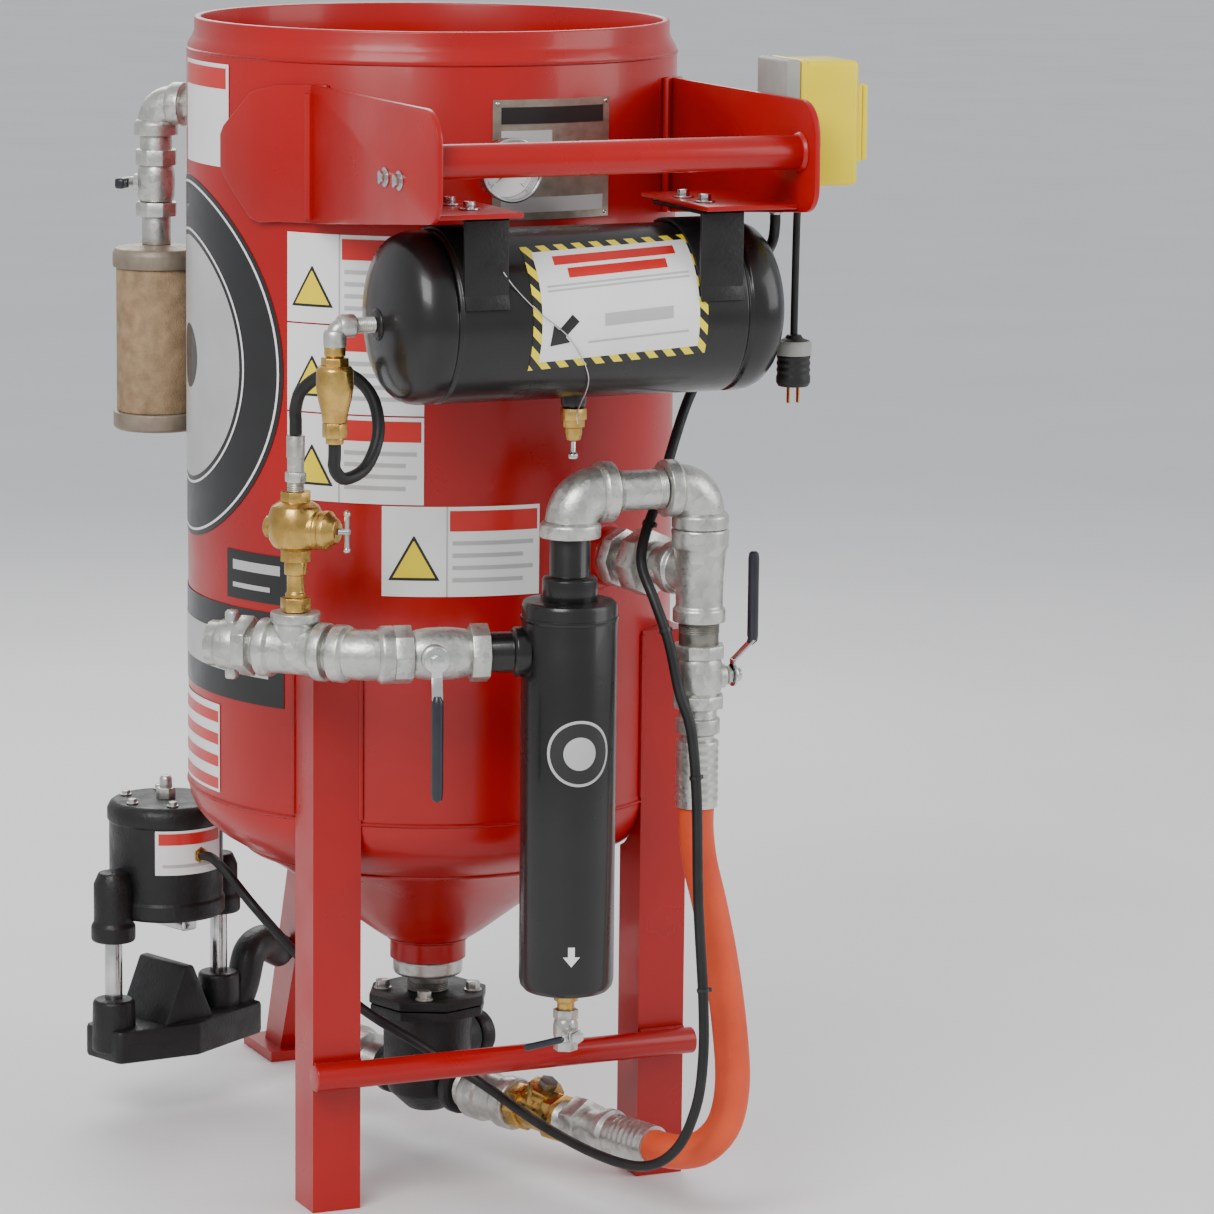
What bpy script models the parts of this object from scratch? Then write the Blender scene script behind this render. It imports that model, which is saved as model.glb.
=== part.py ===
"""Portable abrasive blast pot: a 610 mm pressure vessel on three legs, with its air piping and valves.

Metres, +Z up, with the handle side facing -Y. The sizes below are measured from the vessel's axis at floor
level; centre_on_floor then moves the whole pot so that the origin is under the middle of its outline.
"""

import math

import bmesh
import bpy
from mathutils import Matrix, Vector

# ---- driving dimensions -------------------------------------------------------------------------
GAP = 0.0003  # clearance between pieces that touch
SHELL_R = 0.305  # outer radius of the vessel
WALL = 0.007
RIM_TOP = 1.447
RIM_R = 0.2953
BARREL_TOP = 1.408
SEAM_Z = 0.485  # weld between barrel and bottom head
NECK_R = 0.0485  # red collar under the bottom head
NECK_LOW = 0.248
PORT_R = 0.062  # fill port in the concave top head
TOP_DISH_LOW = 1.335

LEG = 0.0622  # square leg tube
LEG_X, LEG_Y = 0.218, -0.2127
LEG_TOP = 0.700
BAR_R = 0.0165  # tube radius of crossbar and handle bar
CROSSBAR_Z = 0.1756
REAR_FOOT_Y = 0.500
REAR_LEAN = math.radians(25)

HANDLE_X = 0.2360  # middle of each handle plate
PLATE = 0.007
HANDLE_FRONT = -0.612
HANDLE_BACK = -0.2060
HANDLE_LOW, HANDLE_HIGH = 1.254, 1.382
HANDLE_ROOT = 1.216  # the plates run deeper where they meet the shell
HANDLE_BAR_Y, HANDLE_BAR_Z = -0.571, 1.321

TANK_R = 0.1015
TANK_Y, TANK_Z = -0.440, 1.128
TANK_X0, TANK_X1 = -0.245, 0.2535

PIPE_R = 0.0242  # 1 1/2 inch pipe
SEP_X, SEP_Y = 0.002, -0.440
SEP_R = 0.05715
SEP_LOW, SEP_TOP = 0.305, 0.783
CROSS_Z = 0.911
RISER_X = 0.172
TEE_Z = 0.807
INLET_Z = 0.722

PUSH_Z = 0.087  # air line under the pot
PUSH = Vector((0.32, -0.947, 0)).normalized()

EXHAUST_ANGLE = math.radians(137.2)
EXHAUST_DIST = 0.375
PINCH = Vector((-0.250, 0.300, 0))
RODS = Vector((0.938, 0.346, 0)).normalized()
ROD_HALF = 0.089

SIDES = 12  # facets round a small turned piece
VESSEL_SIDES = 36

FINISHES = {
    "red_paint": ((0.52, 0.006, 0.008), 0.32, 0.0),
    "black_coat": ((0.012, 0.011, 0.010), 0.42, 0.0),
    "zinc": ((0.52, 0.52, 0.48), 0.38, 1.0),
    "brass": ((0.60, 0.40, 0.14), 0.30, 1.0),
    "orange_hose": ((0.72, 0.11, 0.03), 0.55, 0.0),
    "black_rubber": ((0.010, 0.010, 0.010), 0.60, 0.0),
    "yellow_plastic": ((0.95, 0.72, 0.0), 0.40, 0.0),
    "grey_plastic": ((0.30, 0.30, 0.28), 0.50, 0.0),
    "tan_bronze": ((0.33, 0.22, 0.12), 0.70, 0.4),
    "steel": ((0.60, 0.60, 0.60), 0.25, 1.0),
}


# ---- helpers ------------------------------------------------------------------------------------
def material(finish):
    if finish in bpy.data.materials:
        return bpy.data.materials[finish]
    colour, roughness, metallic = FINISHES[finish]
    made = bpy.data.materials.new(finish)
    made.use_nodes = True
    shader = made.node_tree.nodes["Principled BSDF"]
    shader.inputs["Base Color"].default_value = (*colour, 1)
    shader.inputs["Roughness"].default_value = roughness
    shader.inputs["Metallic"].default_value = metallic
    return made


def along(origin, axis=(0, 0, 1), spin=0.0):
    """A placement whose local +Z runs along axis from origin."""
    turn = Vector(axis).to_track_quat("Z", "Y").to_matrix().to_4x4()
    return Matrix.Translation(origin) @ turn @ Matrix.Rotation(spin, 4, "Z")


def solid(name, bm, finish, placement=None):
    bmesh.ops.recalc_face_normals(bm, faces=bm.faces)
    mesh = bpy.data.meshes.new(name)
    bm.to_mesh(mesh)
    bm.free()
    mesh.shade_smooth()
    mesh.set_sharp_from_angle(angle=math.radians(35))
    mesh.materials.append(material(finish))
    obj = bpy.data.objects.new(name, mesh)
    bpy.context.scene.collection.objects.link(obj)
    obj.matrix_world = placement or Matrix()
    return obj


def skin(rings, closed):
    """Faces between rings of points. A ring of one point is a pole; closed joins the last ring to the first,
    and otherwise both ends are capped."""
    bm = bmesh.new()
    loops = [[bm.verts.new(point) for point in ring] for ring in rings]
    pairs = list(zip(loops, loops[1:]))
    if closed:
        pairs.append((loops[-1], loops[0]))
    for low, high in pairs:
        count = max(len(low), len(high))
        for i in range(count):
            j = (i + 1) % count
            if len(low) == 1:
                bm.faces.new((low[0], high[j], high[i]))
            elif len(high) == 1:
                bm.faces.new((low[i], low[j], high[0]))
            else:
                bm.faces.new((low[i], low[j], high[j], high[i]))
    for end in () if closed else (loops[0], loops[-1]):
        if len(end) > 1:
            bm.faces.new(end)
    return bm


def turned(name, profile, finish, placement=None, sides=SIDES):
    """A profile of (radius, height) points turned about local Z. One that starts on the axis ends on it."""
    rings = []
    for radius, height in profile:
        if radius == 0:
            rings.append([(0, 0, height)])
            continue
        steps = [2 * math.pi * (i + 0.5) / sides for i in range(sides)]
        rings.append([(radius * math.cos(a), radius * math.sin(a), height) for a in steps])
    return solid(name, skin(rings, closed=profile[0][0] != 0), finish, placement)


def rod(name, radius, length, finish, placement, sides=SIDES):
    """A plain round bar from the placement's origin along its local Z."""
    profile = [(0, 0), (radius, 0), (radius, length), (0, length)]
    return turned(name, profile, finish, placement, sides)


def swept(name, points, radii, finish, sides=SIDES):
    """A round bar of varying radius through points, with flat ends."""
    points = [Vector(point) for point in points]
    across = (points[1] - points[0]).orthogonal().normalized()
    rings = []
    for i, (point, radius) in enumerate(zip(points, radii)):
        before = points[max(i - 1, 0)]
        after = points[min(i + 1, len(points) - 1)]
        heading = (after - before).normalized()
        if i and i < len(points) - 1:
            heading = ((point - before).normalized() + (after - point).normalized()).normalized()
        across = (across - heading * across.dot(heading)).normalized()
        other = heading.cross(across)
        steps = [2 * math.pi * k / sides for k in range(sides)]
        rings.append([point + radius * (math.cos(a) * across + math.sin(a) * other) for a in steps])
    return solid(name, skin(rings, closed=False), finish)


def block(name, size, finish, placement, bevel=0.0):
    bm = bmesh.new()
    bmesh.ops.create_cube(bm, size=1)
    bmesh.ops.scale(bm, vec=size, verts=bm.verts)
    if bevel:
        bmesh.ops.bevel(bm, geom=bm.edges, offset=bevel, segments=2, affect="EDGES", profile=0.5)
    return solid(name, bm, finish, placement)


def rounded(corners, steps=4):
    """An outline from (x, y, radius) corners, with each corner turned by an arc of that radius."""
    outline = []
    for i, (x, y, radius) in enumerate(corners):
        here = Vector((x, y))
        to_last = (Vector(corners[i - 1][:2]) - here).normalized()
        to_next = (Vector(corners[(i + 1) % len(corners)][:2]) - here).normalized()
        if radius == 0:
            outline.append(here)
            continue
        half = to_last.angle(to_next) / 2
        centre = here + (to_last + to_next).normalized() * radius / math.sin(half)
        start = here + to_last * radius / math.tan(half) - centre
        end = here + to_next * radius / math.tan(half) - centre
        for k in range(steps + 1):
            outline.append(centre + radius * start.normalized().slerp(end.normalized(), k / steps))
    return outline


def plate(name, outline, thickness, finish, placement):
    """An outline in local X and Y, extruded by thickness along local Z."""
    bm = bmesh.new()
    face = bm.faces.new([bm.verts.new((x, y, 0)) for x, y in outline])
    top = bmesh.ops.extrude_face_region(bm, geom=[face])["geom"]
    moved = [item for item in top if isinstance(item, bmesh.types.BMVert)]
    bmesh.ops.translate(bm, vec=(0, 0, thickness), verts=moved)
    return solid(name, bm, finish, placement)


def combine(target, tool, operation):
    """Adds tool to target or cuts it away, and leaves the tool as a hidden guide."""
    tool.hide_render = True
    tool.display_type = "WIRE"
    modifier = target.modifiers.new(operation.lower(), "BOOLEAN")
    modifier.operation = operation
    modifier.object = tool
    return target


def fuse(target, *tools):
    for tool in tools:
        combine(target, tool, "UNION")
    return target


def cut(target, *tools):
    for tool in tools:
        combine(target, tool, "DIFFERENCE")
    return target


def pivot(obj, point):
    """Parents obj to an empty at point, the place of its joint's axis."""
    empty = bpy.data.objects.new(obj.name + "_axis", None)
    bpy.context.scene.collection.objects.link(empty)
    empty.matrix_world = Matrix.Translation(point)
    placement = obj.matrix_world.copy()
    obj.parent = empty
    obj.matrix_parent_inverse = Matrix.Translation(point).inverted()
    obj.matrix_world = placement


def smooth_route(points, spacing):
    """Points about spacing apart along a smooth curve through the given points."""
    points = [Vector(point) for point in points]
    ends = [2 * points[0] - points[1], *points, 2 * points[-1] - points[-2]]
    dense = []
    for p0, p1, p2, p3 in zip(ends, ends[1:], ends[2:], ends[3:]):
        for k in range(24):
            t = k / 24
            a = 2 * p1 + (p2 - p0) * t
            b = (2 * p0 - 5 * p1 + 4 * p2 - p3) * t * t
            c = (3 * p1 - p0 - 3 * p2 + p3) * t * t * t
            dense.append((a + b + c) / 2)
    dense.append(points[-1])
    total = sum((b - a).length for a, b in zip(dense, dense[1:]))
    count = round(total / spacing)
    step = total / count
    route, run = [dense[0]], 0.0
    for a, b in zip(dense, dense[1:]):
        run += (b - a).length
        if run >= step * len(route) and len(route) < count:
            route.append(b)
    route.append(dense[-1])
    return route


def cord(name, points, diameter, finish, resolution=2):
    """A plain tube along a smooth route, with closed ends."""
    curve = bpy.data.curves.new(name, "CURVE")
    curve.dimensions = "3D"
    curve.bevel_depth = diameter / 2
    curve.bevel_resolution = resolution
    curve.use_fill_caps = True
    route = smooth_route(points, 2.6 * diameter)
    first, last = Vector(points[1]) - route[0], Vector(points[-2]) - route[-1]
    route.insert(1, route[0] + first.normalized() * diameter * 0.5)
    route.insert(-1, route[-1] + last.normalized() * diameter * 0.5)
    spline = curve.splines.new("POLY")
    spline.points.add(len(route) - 1)
    for target, point in zip(spline.points, route):
        target.co = (*point, 1)
    curve.materials.append(material(finish))
    obj = bpy.data.objects.new(name, curve)
    bpy.context.scene.collection.objects.link(obj)
    return obj


def elbow(name, corner, into, out, reach, finish, band=0.034, neck=0.028):
    """A banded pipe elbow that turns from heading into to heading out round corner."""
    corner, into, out = Vector(corner), Vector(into).normalized(), Vector(out).normalized()
    band_length = 0.014
    bend = reach - band_length
    start, end = corner - into * bend, corner + out * bend
    arc = [((1 - t) ** 2) * start + 2 * t * (1 - t) * corner + t * t * end for t in (0.2, 0.4, 0.6, 0.8)]
    lip = 0.002
    points = [corner - into * reach, start - into * lip, start, *arc, end, end + out * lip,
              corner + out * reach]
    radii = [band, band, neck + 0.002] + [neck] * len(arc) + [neck + 0.002, band, band]
    return swept(name, points, radii, finish)


def upright(origin, heading):
    """A placement whose local X is heading, local Y is up, and local Z is square to both."""
    heading, up = Vector(heading).normalized(), Vector((0, 0, 1))
    turn = Matrix((heading, up, heading.cross(up))).transposed().to_4x4()
    return Matrix.Translation(origin) @ turn


def shell_pad(name, columns, inner, thickness, finish):
    """A plate rolled to the shell, from (angle in degrees from -Y, low, high) columns."""
    rings = []
    for angle, low, high in columns:
        out = Vector((math.sin(math.radians(angle)), -math.cos(math.radians(angle)), 0))
        near, far = out * inner, out * (inner + thickness)
        rings.append([near + Vector((0, 0, low)), near + Vector((0, 0, high)),
                      far + Vector((0, 0, high)), far + Vector((0, 0, low))])
    return solid(name, skin(rings, closed=False), finish)


def valve_lever(name, hub, stem, arm, length, crank, finish, pivot_radius=0.016):
    """A cranked valve lever: a hub disc across the stem, and a grip that runs along arm, stood off by crank."""
    hub, stem, arm = Vector(hub), Vector(stem).normalized(), Vector(arm).normalized()
    middle = stem * 0.0068
    points = [hub + middle, hub + middle + arm * 0.018, hub + middle + arm * length * 0.3 + stem * crank,
              hub + middle + arm * length + stem * crank]
    lever = swept(name, points, [0.0038, 0.0055, 0.0095, 0.0085], finish, sides=10)
    disc = rod(name + "_hub", pivot_radius, 0.010, finish, along(hub, stem), sides=16)
    fuse(lever, disc)
    pivot(lever, hub)
    return lever


# ---- vessel -------------------------------------------------------------------------------------
# radius and height down the outside of the bottom head: a dished knuckle, then a cone to the neck
HEAD = [(SHELL_R, SEAM_Z - GAP), (0.3015, 0.468), (0.291, 0.446), (0.268, 0.422), (0.232, 0.401),
        (0.190, 0.376),
        (0.118, 0.322), (0.062, 0.283)]


def vessel_space():
    """A guide a little larger than the vessel, for cutting what butts against it."""
    radius = SHELL_R + 0.001
    outline = [(r + 0.001, z - 0.001) for r, z in HEAD[1:]]
    return turned("vessel_space", [(0, 0.281), *reversed(outline), (radius, SEAM_Z), (radius, 1.42),
                                   (0, 1.42)],
                  "red_paint", sides=VESSEL_SIDES)


def build_vessel():
    inner = SHELL_R - WALL
    barrel = turned("shell_barrel", [(inner, SEAM_Z), (SHELL_R, SEAM_Z), (SHELL_R, BARREL_TOP),
                                     (inner, BARREL_TOP)],
                    "red_paint", sides=VESSEL_SIDES)
    outward = Vector((RISER_X, SEP_Y, 0)).normalized()
    fuse(barrel, rod("port_boss", 0.0360, 0.033, "red_paint",
                     along(outward * 0.300 + Vector((0, 0, TEE_Z)), outward)))
    rim = [(0.284, BARREL_TOP + GAP), (SHELL_R, BARREL_TOP + GAP), (0.3005, 1.420), (RIM_R, 1.428),
           (RIM_R, RIM_TOP), (0.2870, RIM_TOP), (0.2870, 1.428)]
    turned("top_rim", rim, "red_paint", sides=VESSEL_SIDES)
    edge_r, edge_z, sheet = inner - GAP, BARREL_TOP - 0.001, 0.006
    rise = edge_z - TOP_DISH_LOW
    radii = [PORT_R + (edge_r - PORT_R) * i / 4 for i in range(5)]
    dish = [(r, TOP_DISH_LOW + rise * ((r - PORT_R) / (edge_r - PORT_R)) ** 1.6) for r in radii]
    turned("top_head", dish + [(r, z - sheet) for r, z in reversed(dish)], "red_paint", sides=VESSEL_SIDES)
    lining = [(inner, SEAM_Z - GAP)] + [(r - 0.004, z + 0.0075) for r, z in HEAD[3:]]
    turned("bottom_head", [*HEAD, (NECK_R, 0.272), (NECK_R, NECK_LOW), (0.0205, NECK_LOW), (0.0205, 0.264),
                           *reversed(lining)], "red_paint", sides=VESSEL_SIDES)


def build_fill_valve():
    seat = TOP_DISH_LOW - 0.006
    turned("fill_gasket", [(0.043, seat - 0.004), (PORT_R - 0.0005, seat - 0.004),
                           (PORT_R - 0.0005, seat + 0.010),
                           (0.043, seat + 0.010)], "black_rubber", sides=32)
    stem = [(0, 1.165), (0.0118, 1.165), (0.0118, 1.252), (0.052, 1.262), (0.054, 1.272), (0.030, 1.292),
            (0, 1.298)]
    pivot(turned("fill_valve", stem, "steel", sides=28), (0, 0, 1.262))
    wall = -(SHELL_R - WALL - 0.002)
    run = [(wall, 0, 1.100), (-0.05, 0, 1.100), (-0.025, 0, 1.106), (-0.007, 0, 1.125), (0, 0, 1.150),
           (0, 0, 1.235)]
    guide = swept("air_guide_pipe", run, [0.0215] * len(run), "steel", sides=16)
    cut(guide, rod("stem_bore", 0.0126, 0.100, "steel", along((0, 0, 1.150)), sides=16))


def build_outlet():
    low = 0.2043
    turned("outlet_nipple", [(0.0205, NECK_LOW - GAP), (0.0445, NECK_LOW - GAP), (0.0445, 0.2260),
                             (0.0262, 0.2260), (0.0262, low), (0.0205, low)], "zinc")


# ---- frame --------------------------------------------------------------------------------------
def build_legs():
    space = vessel_space()
    for side, name in ((-1, "front_leg_left"), (1, "front_leg_right")):
        leg = block(name, (LEG, LEG, LEG_TOP), "red_paint",
                    Matrix.Translation((side * LEG_X, LEG_Y, LEG_TOP / 2)))
        cut(leg, space)
    rings = []
    for z, half in ((0.012, 0.030), (0.480, 0.047)):
        y = REAR_FOOT_Y - z * math.tan(REAR_LEAN)
        rings.append([(-half, y - half, z), (half, y - half, z), (half, y + half, z), (-half, y + half, z)])
    rear = solid("rear_leg", skin(rings, closed=False), "red_paint")
    foot = block("rear_foot", (0.100, 0.110, 0.014), "red_paint",
                 Matrix.Translation((0, REAR_FOOT_Y, 0.007)))
    fuse(rear, foot)
    cut(rear, space)
    length = 0.5082
    front = LEG_Y - LEG / 2 - GAP - BAR_R
    rod("crossbar", BAR_R, length, "red_paint", along((-length / 2, front, CROSSBAR_Z), (1, 0, 0)),
        sides=20)


def build_handle():
    for side, name in ((-1, "left"), (1, "right")):
        corners = [(-HANDLE_BACK, HANDLE_ROOT, 0), (-HANDLE_FRONT, HANDLE_LOW, 0.030),
                   (-HANDLE_FRONT, HANDLE_HIGH, 0.042), (-HANDLE_BACK, HANDLE_HIGH, 0)]
        place = upright((side * HANDLE_X + PLATE / 2, 0, 0), (0, -1, 0))
        cheek = plate("handle_plate_" + name, rounded(corners), PLATE, "red_paint", place)
        tab = block("handle_tab_" + name, (0.120, 0.190, 0.006), "red_paint",
                    Matrix.Translation((side * 0.1745, -0.475, HANDLE_LOW + 0.003)))
        fuse(cheek, tab)
        columns = [(46, 1.217, 1.383), (52, 1.217, 1.383), (58, 1.215, 1.380), (64, 1.212, 1.374),
                   (70.5, 1.238, 1.348), (77, 1.268, 1.322)]
        if side < 0:
            columns = [(-angle, lower, upper) for angle, lower, upper in columns]
        fuse(cheek, shell_pad("handle_pad_" + name, columns, SHELL_R + 0.0008, 0.0090, "red_paint"))
    reach = HANDLE_X - PLATE / 2 - GAP
    rod("handle_bar", 0.0200, 2 * reach, "red_paint", along((-reach, HANDLE_BAR_Y, HANDLE_BAR_Z),
                                                            (1, 0, 0)), 20)


# ---- emergency air tank -------------------------------------------------------------------------
def tank_profile(length):
    r = TANK_R
    end = [(0, 0), (0.045, 0.003), (0.080, 0.012), (0.096, 0.026), (r, 0.045), (r, 0.062),
           (r - 0.003, 0.066),
           (r, 0.070)]
    return end + [(radius, length - along_x) for radius, along_x in reversed(end)]


def build_tank():
    length = TANK_X1 - TANK_X0
    tank = turned("air_tank", tank_profile(length), "black_coat",
                  along((TANK_X0, TANK_Y, TANK_Z), (1, 0, 0)), 32)
    fuse(tank, rod("tank_drain_boss", 0.0125, 0.030, "black_coat", along((0.0045, TANK_Y, 1.0140)), 16),
         rod("tank_plug", 0.010, 0.030, "zinc", along((TANK_X1 - 0.010, TANK_Y, TANK_Z), (1, 0, 0)), 12))
    space = rod("tank_space", TANK_R + 0.0008, length, "black_coat",
                along((TANK_X0, TANK_Y, TANK_Z), (1, 0, 0)), 32)
    top = HANDLE_LOW - GAP
    for x, name in ((-0.149, "left"), (0.149, "right")):
        low = 1.158
        strap = block("tank_bracket_" + name, (0.055, 0.141, top - low), "black_coat",
                      Matrix.Translation((x, -0.4705, (top + low) / 2)))
        cut(strap, space)
    turned("tank_drain_valve", [(0, 1.0137), (0.0145, 1.0137), (0.0145, 0.990), (0.010, 0.988),
                                (0.010, 0.975),
                                (0, 0.975)], "brass", along((0.0045, TANK_Y, 0)), 12)
    stem = turned("tank_drain_stem", [(0, 0.9735), (0.0035, 0.9735), (0.0035, 0.962), (0.006, 0.958),
                                      (0.006, 0.953),
                                      (0, 0.953)], "steel", along((0.0045, TANK_Y, 0)), 10)
    pivot(stem, (0.0045, TANK_Y, 0.9735))


CHAIN_X = -0.297  # the brass column at the tank's left end


def build_tank_chain():
    z = 1.122
    points = [(TANK_X0 - GAP, TANK_Y, z), (-0.262, TANK_Y, z), (-0.264, TANK_Y, z), (-0.288, TANK_Y, z),
              (CHAIN_X, TANK_Y, z - 0.009), (CHAIN_X, TANK_Y, z - 0.020), (CHAIN_X, TANK_Y, z - 0.022),
              (CHAIN_X, TANK_Y, 1.080)]
    bend = swept("tank_elbow", points, [0.0095, 0.0095, 0.0125, 0.0125, 0.0125, 0.0125, 0.0105, 0.0105],
                 "zinc", 12)
    column = along((CHAIN_X, TANK_Y, 0))
    valve = turned("check_valve", [(0, 1.0857), (0.013, 1.0857), (0.013, 1.077), (0.021, 1.075),
                                   (0.022, 1.050), (0.015, 1.020),
                           (0.0125, 1.012), (0.0125, 0.985), (0, 0.985)], "brass", column, 16)
    fuse(valve, bend)


LOOP_ROUTE = [(-0.297, -0.440, 0.9845), (-0.297, -0.440, 0.970), (-0.297, -0.440, 0.955),
              (-0.281, -0.432, 0.942), (-0.250, -0.420, 0.953),
              (-0.229, -0.405, 0.990), (-0.231, -0.390, 1.030), (-0.252, -0.374, 1.055),
              (-0.280, -0.356, 1.054),
              (-0.298, -0.334, 1.034),
              (-0.3008, -0.3209, 1.012), (-0.3008, -0.3209, 0.996), (-0.3008, -0.3209, 0.9805)]


# ---- inlet line ---------------------------------------------------------------------------------
def heading(degrees):
    """A level direction, turned from -X towards +Y."""
    return Vector((-math.cos(math.radians(degrees)), math.sin(math.radians(degrees)), 0))


INLET_A, INLET_B = heading(13), heading(46)
SEP = Vector((SEP_X, SEP_Y, INLET_Z))
ELBOW_AT = SEP + INLET_A * 0.248
TEE_AT = ELBOW_AT + INLET_B * 0.088
INLET_STEM = 0.167  # distance of the valve's stem from the separator's axis
OUTWARD = Vector((INLET_A.y * -1, INLET_A.x, 0))


def build_inlet():
    start = along(SEP, INLET_A)
    body = turned("inlet_valve_body", [(0, 0.0983), (0.033, 0.0983), (0.033, 0.121), (0.029, 0.123),
                                       (0.031, 0.140),
                                       (0.031, 0.170), (0.029, 0.187), (0.033, 0.189), (0.033, 0.2125),
                                       (0, 0.2125)],
                  "zinc", start)
    stem = SEP + INLET_A * INLET_STEM
    fuse(body, rod("inlet_stem", 0.010, 0.046, "zinc", along(stem, OUTWARD), 12))
    valve_lever("inlet_valve_lever", stem + OUTWARD * (0.046 + GAP), OUTWARD, (0, 0, -1), 0.168, 0.006,
                "black_rubber")
    bend = [SEP + INLET_A * 0.2128, SEP + INLET_A * 0.226, SEP + INLET_A * 0.228, SEP + INLET_A * 0.240,
            ELBOW_AT + INLET_B * 0.010, ELBOW_AT + INLET_B * 0.026, ELBOW_AT + INLET_B * 0.028,
            ELBOW_AT + INLET_B * 0.044]
    swept("inlet_elbow", bend, [0.0345, 0.0345, 0.032, 0.033, 0.034, 0.033, 0.036, 0.036], "zinc")
    run = [(0, 0.0443), (0.035, 0.0443), (0.035, 0.056), (0.031, 0.058), (0.031, 0.118), (0.035, 0.120),
           (0.035, 0.132), (0.0245, 0.133), (0.0245, 0.140), (0.034, 0.142), (0.034, 0.165), (0.029, 0.167),
           (0.029, 0.200), (0, 0.200)]
    tee = turned("inlet_tee", run, "zinc", along(ELBOW_AT, INLET_B))
    fuse(tee, turned("tee_branch", [(0, 0), (0.026, 0), (0.026, 0.034), (0.030, 0.036), (0.030, 0.046),
                                    (0, 0.046)],
                     "zinc", along(TEE_AT)))


def build_regulator():
    base = TEE_AT.z + 0.046 + GAP
    column = along((TEE_AT.x, TEE_AT.y, 0))
    body = turned("regulator_body", [(0, base), (0.017, base), (0.017, 0.792), (0.0115, 0.794),
                                     (0.0115, 0.8295),
                                     (0.018, 0.8298), (0.018, 0.842), (0.031, 0.850), (0.034, 0.885),
                                     (0.030, 0.900),
                                     (0.018, 0.904), (0.018, 0.912), (0.012, 0.9123), (0.012, 0.950),
                                     (0.0095, 0.952), (0.0095, 0.980), (0, 0.980)], "brass", column)
    across = -INLET_B
    centre = Vector((TEE_AT.x, TEE_AT.y, 0.868))
    bonnet = turned("bonnet", [(0, 0), (0.022, 0), (0.022, 0.044), (0.019, 0.046), (0.015, 0.056),
                               (0, 0.056)], "brass",
                    along(centre, across), 16)
    fuse(body, bonnet)
    tip = centre + across * (0.056 + GAP)
    handle = rod("regulator_handle", 0.0045, 0.012, "steel", along(tip, across), 10)
    fuse(handle, rod("tee_bar", 0.0042, 0.050, "steel", along(tip + across * 0.010 + Vector((0, 0,
                                                                                             -0.025))), 10))
    pivot(handle, tip)


# ---- separator and crossover --------------------------------------------------------------------
def build_separator():
    column = along((SEP_X, SEP_Y, 0))
    r = SEP_R
    body = turned("separator", [(0, SEP_LOW), (r - 0.012, SEP_LOW), (r, SEP_LOW + 0.012),
                                (r, SEP_TOP - 0.004),
                                (r - 0.004, SEP_TOP), (PIPE_R, SEP_TOP), (PIPE_R, CROSS_Z - 0.0523),
                                (0, CROSS_Z - 0.0523)], "black_coat", column, 28)
    fuse(body, rod("inlet_stub", PIPE_R, 0.098, "black_coat", along(SEP, INLET_A)))
    tail = turned("drain_valve_body", [(0, SEP_LOW - GAP), (0.009, SEP_LOW - GAP), (0.009, 0.287),
                                       (0.014, 0.285),
                                       (0.014, 0.240), (0.010, 0.238), (0.010, 0.232), (0, 0.232)], "zinc",
                  column, 12)
    fuse(tail, rod("drain_stem", 0.006, 0.026, "zinc", along((SEP_X, SEP_Y, 0.256), (0, -1, 0)), 10))
    valve_lever("drain_valve_lever", (SEP_X, SEP_Y - 0.026 - GAP, 0.256), (0, -1, 0), (-1, 0, -0.12), 0.068,
                0.004,
                "black_rubber", pivot_radius=0.009)


def build_crossover():
    left, right = (SEP_X, SEP_Y, CROSS_Z), (RISER_X, SEP_Y, CROSS_Z)
    bend = elbow("crossover_elbow_left", left, (0, 0, 1), (1, 0, 0), 0.052, "zinc", band=0.0350,
                 neck=0.0300)
    elbow("crossover_elbow_right", right, (1, 0, 0), (0, 0, -1), 0.050, "zinc", band=0.0330, neck=0.0285)
    length = RISER_X - SEP_X - 0.050 - 0.050 - GAP
    fuse(bend, rod("crossover_nipple", PIPE_R, length, "zinc",
                   along((SEP_X + 0.050, SEP_Y, CROSS_Z), (1, 0, 0))))
    column = along((RISER_X, SEP_Y, 0))
    high = CROSS_Z - 0.050 - GAP
    tee = turned("riser_tee", [(0, 0.747), (0.0310, 0.747), (0.0310, 0.756), (0.0285, 0.758),
                               (0.0315, 0.835),
                               (0.0360, 0.842), (0.0360, high), (0, high)], "zinc", column)
    outward = Vector((RISER_X, SEP_Y, 0)).normalized()
    reach = math.hypot(RISER_X, SEP_Y)
    centre = Vector((RISER_X, SEP_Y, TEE_Z))
    fuse(tee, rod("tee_side", 0.030, 0.048, "zinc", along(centre, -outward)))
    axis = along((0, 0, TEE_Z), outward)
    end = reach - 0.048 - GAP
    turned("port_union", [(0, 0.3333), (0.034, 0.3333), (0.034, 0.341), (0.026, 0.343), (0.026, 0.372),
                          (0.033, 0.374),
                          (0.033, 0.404), (0.025, 0.406), (0.025, end), (0, end)], "zinc", axis)


CHOKE_Z = 0.678


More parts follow.
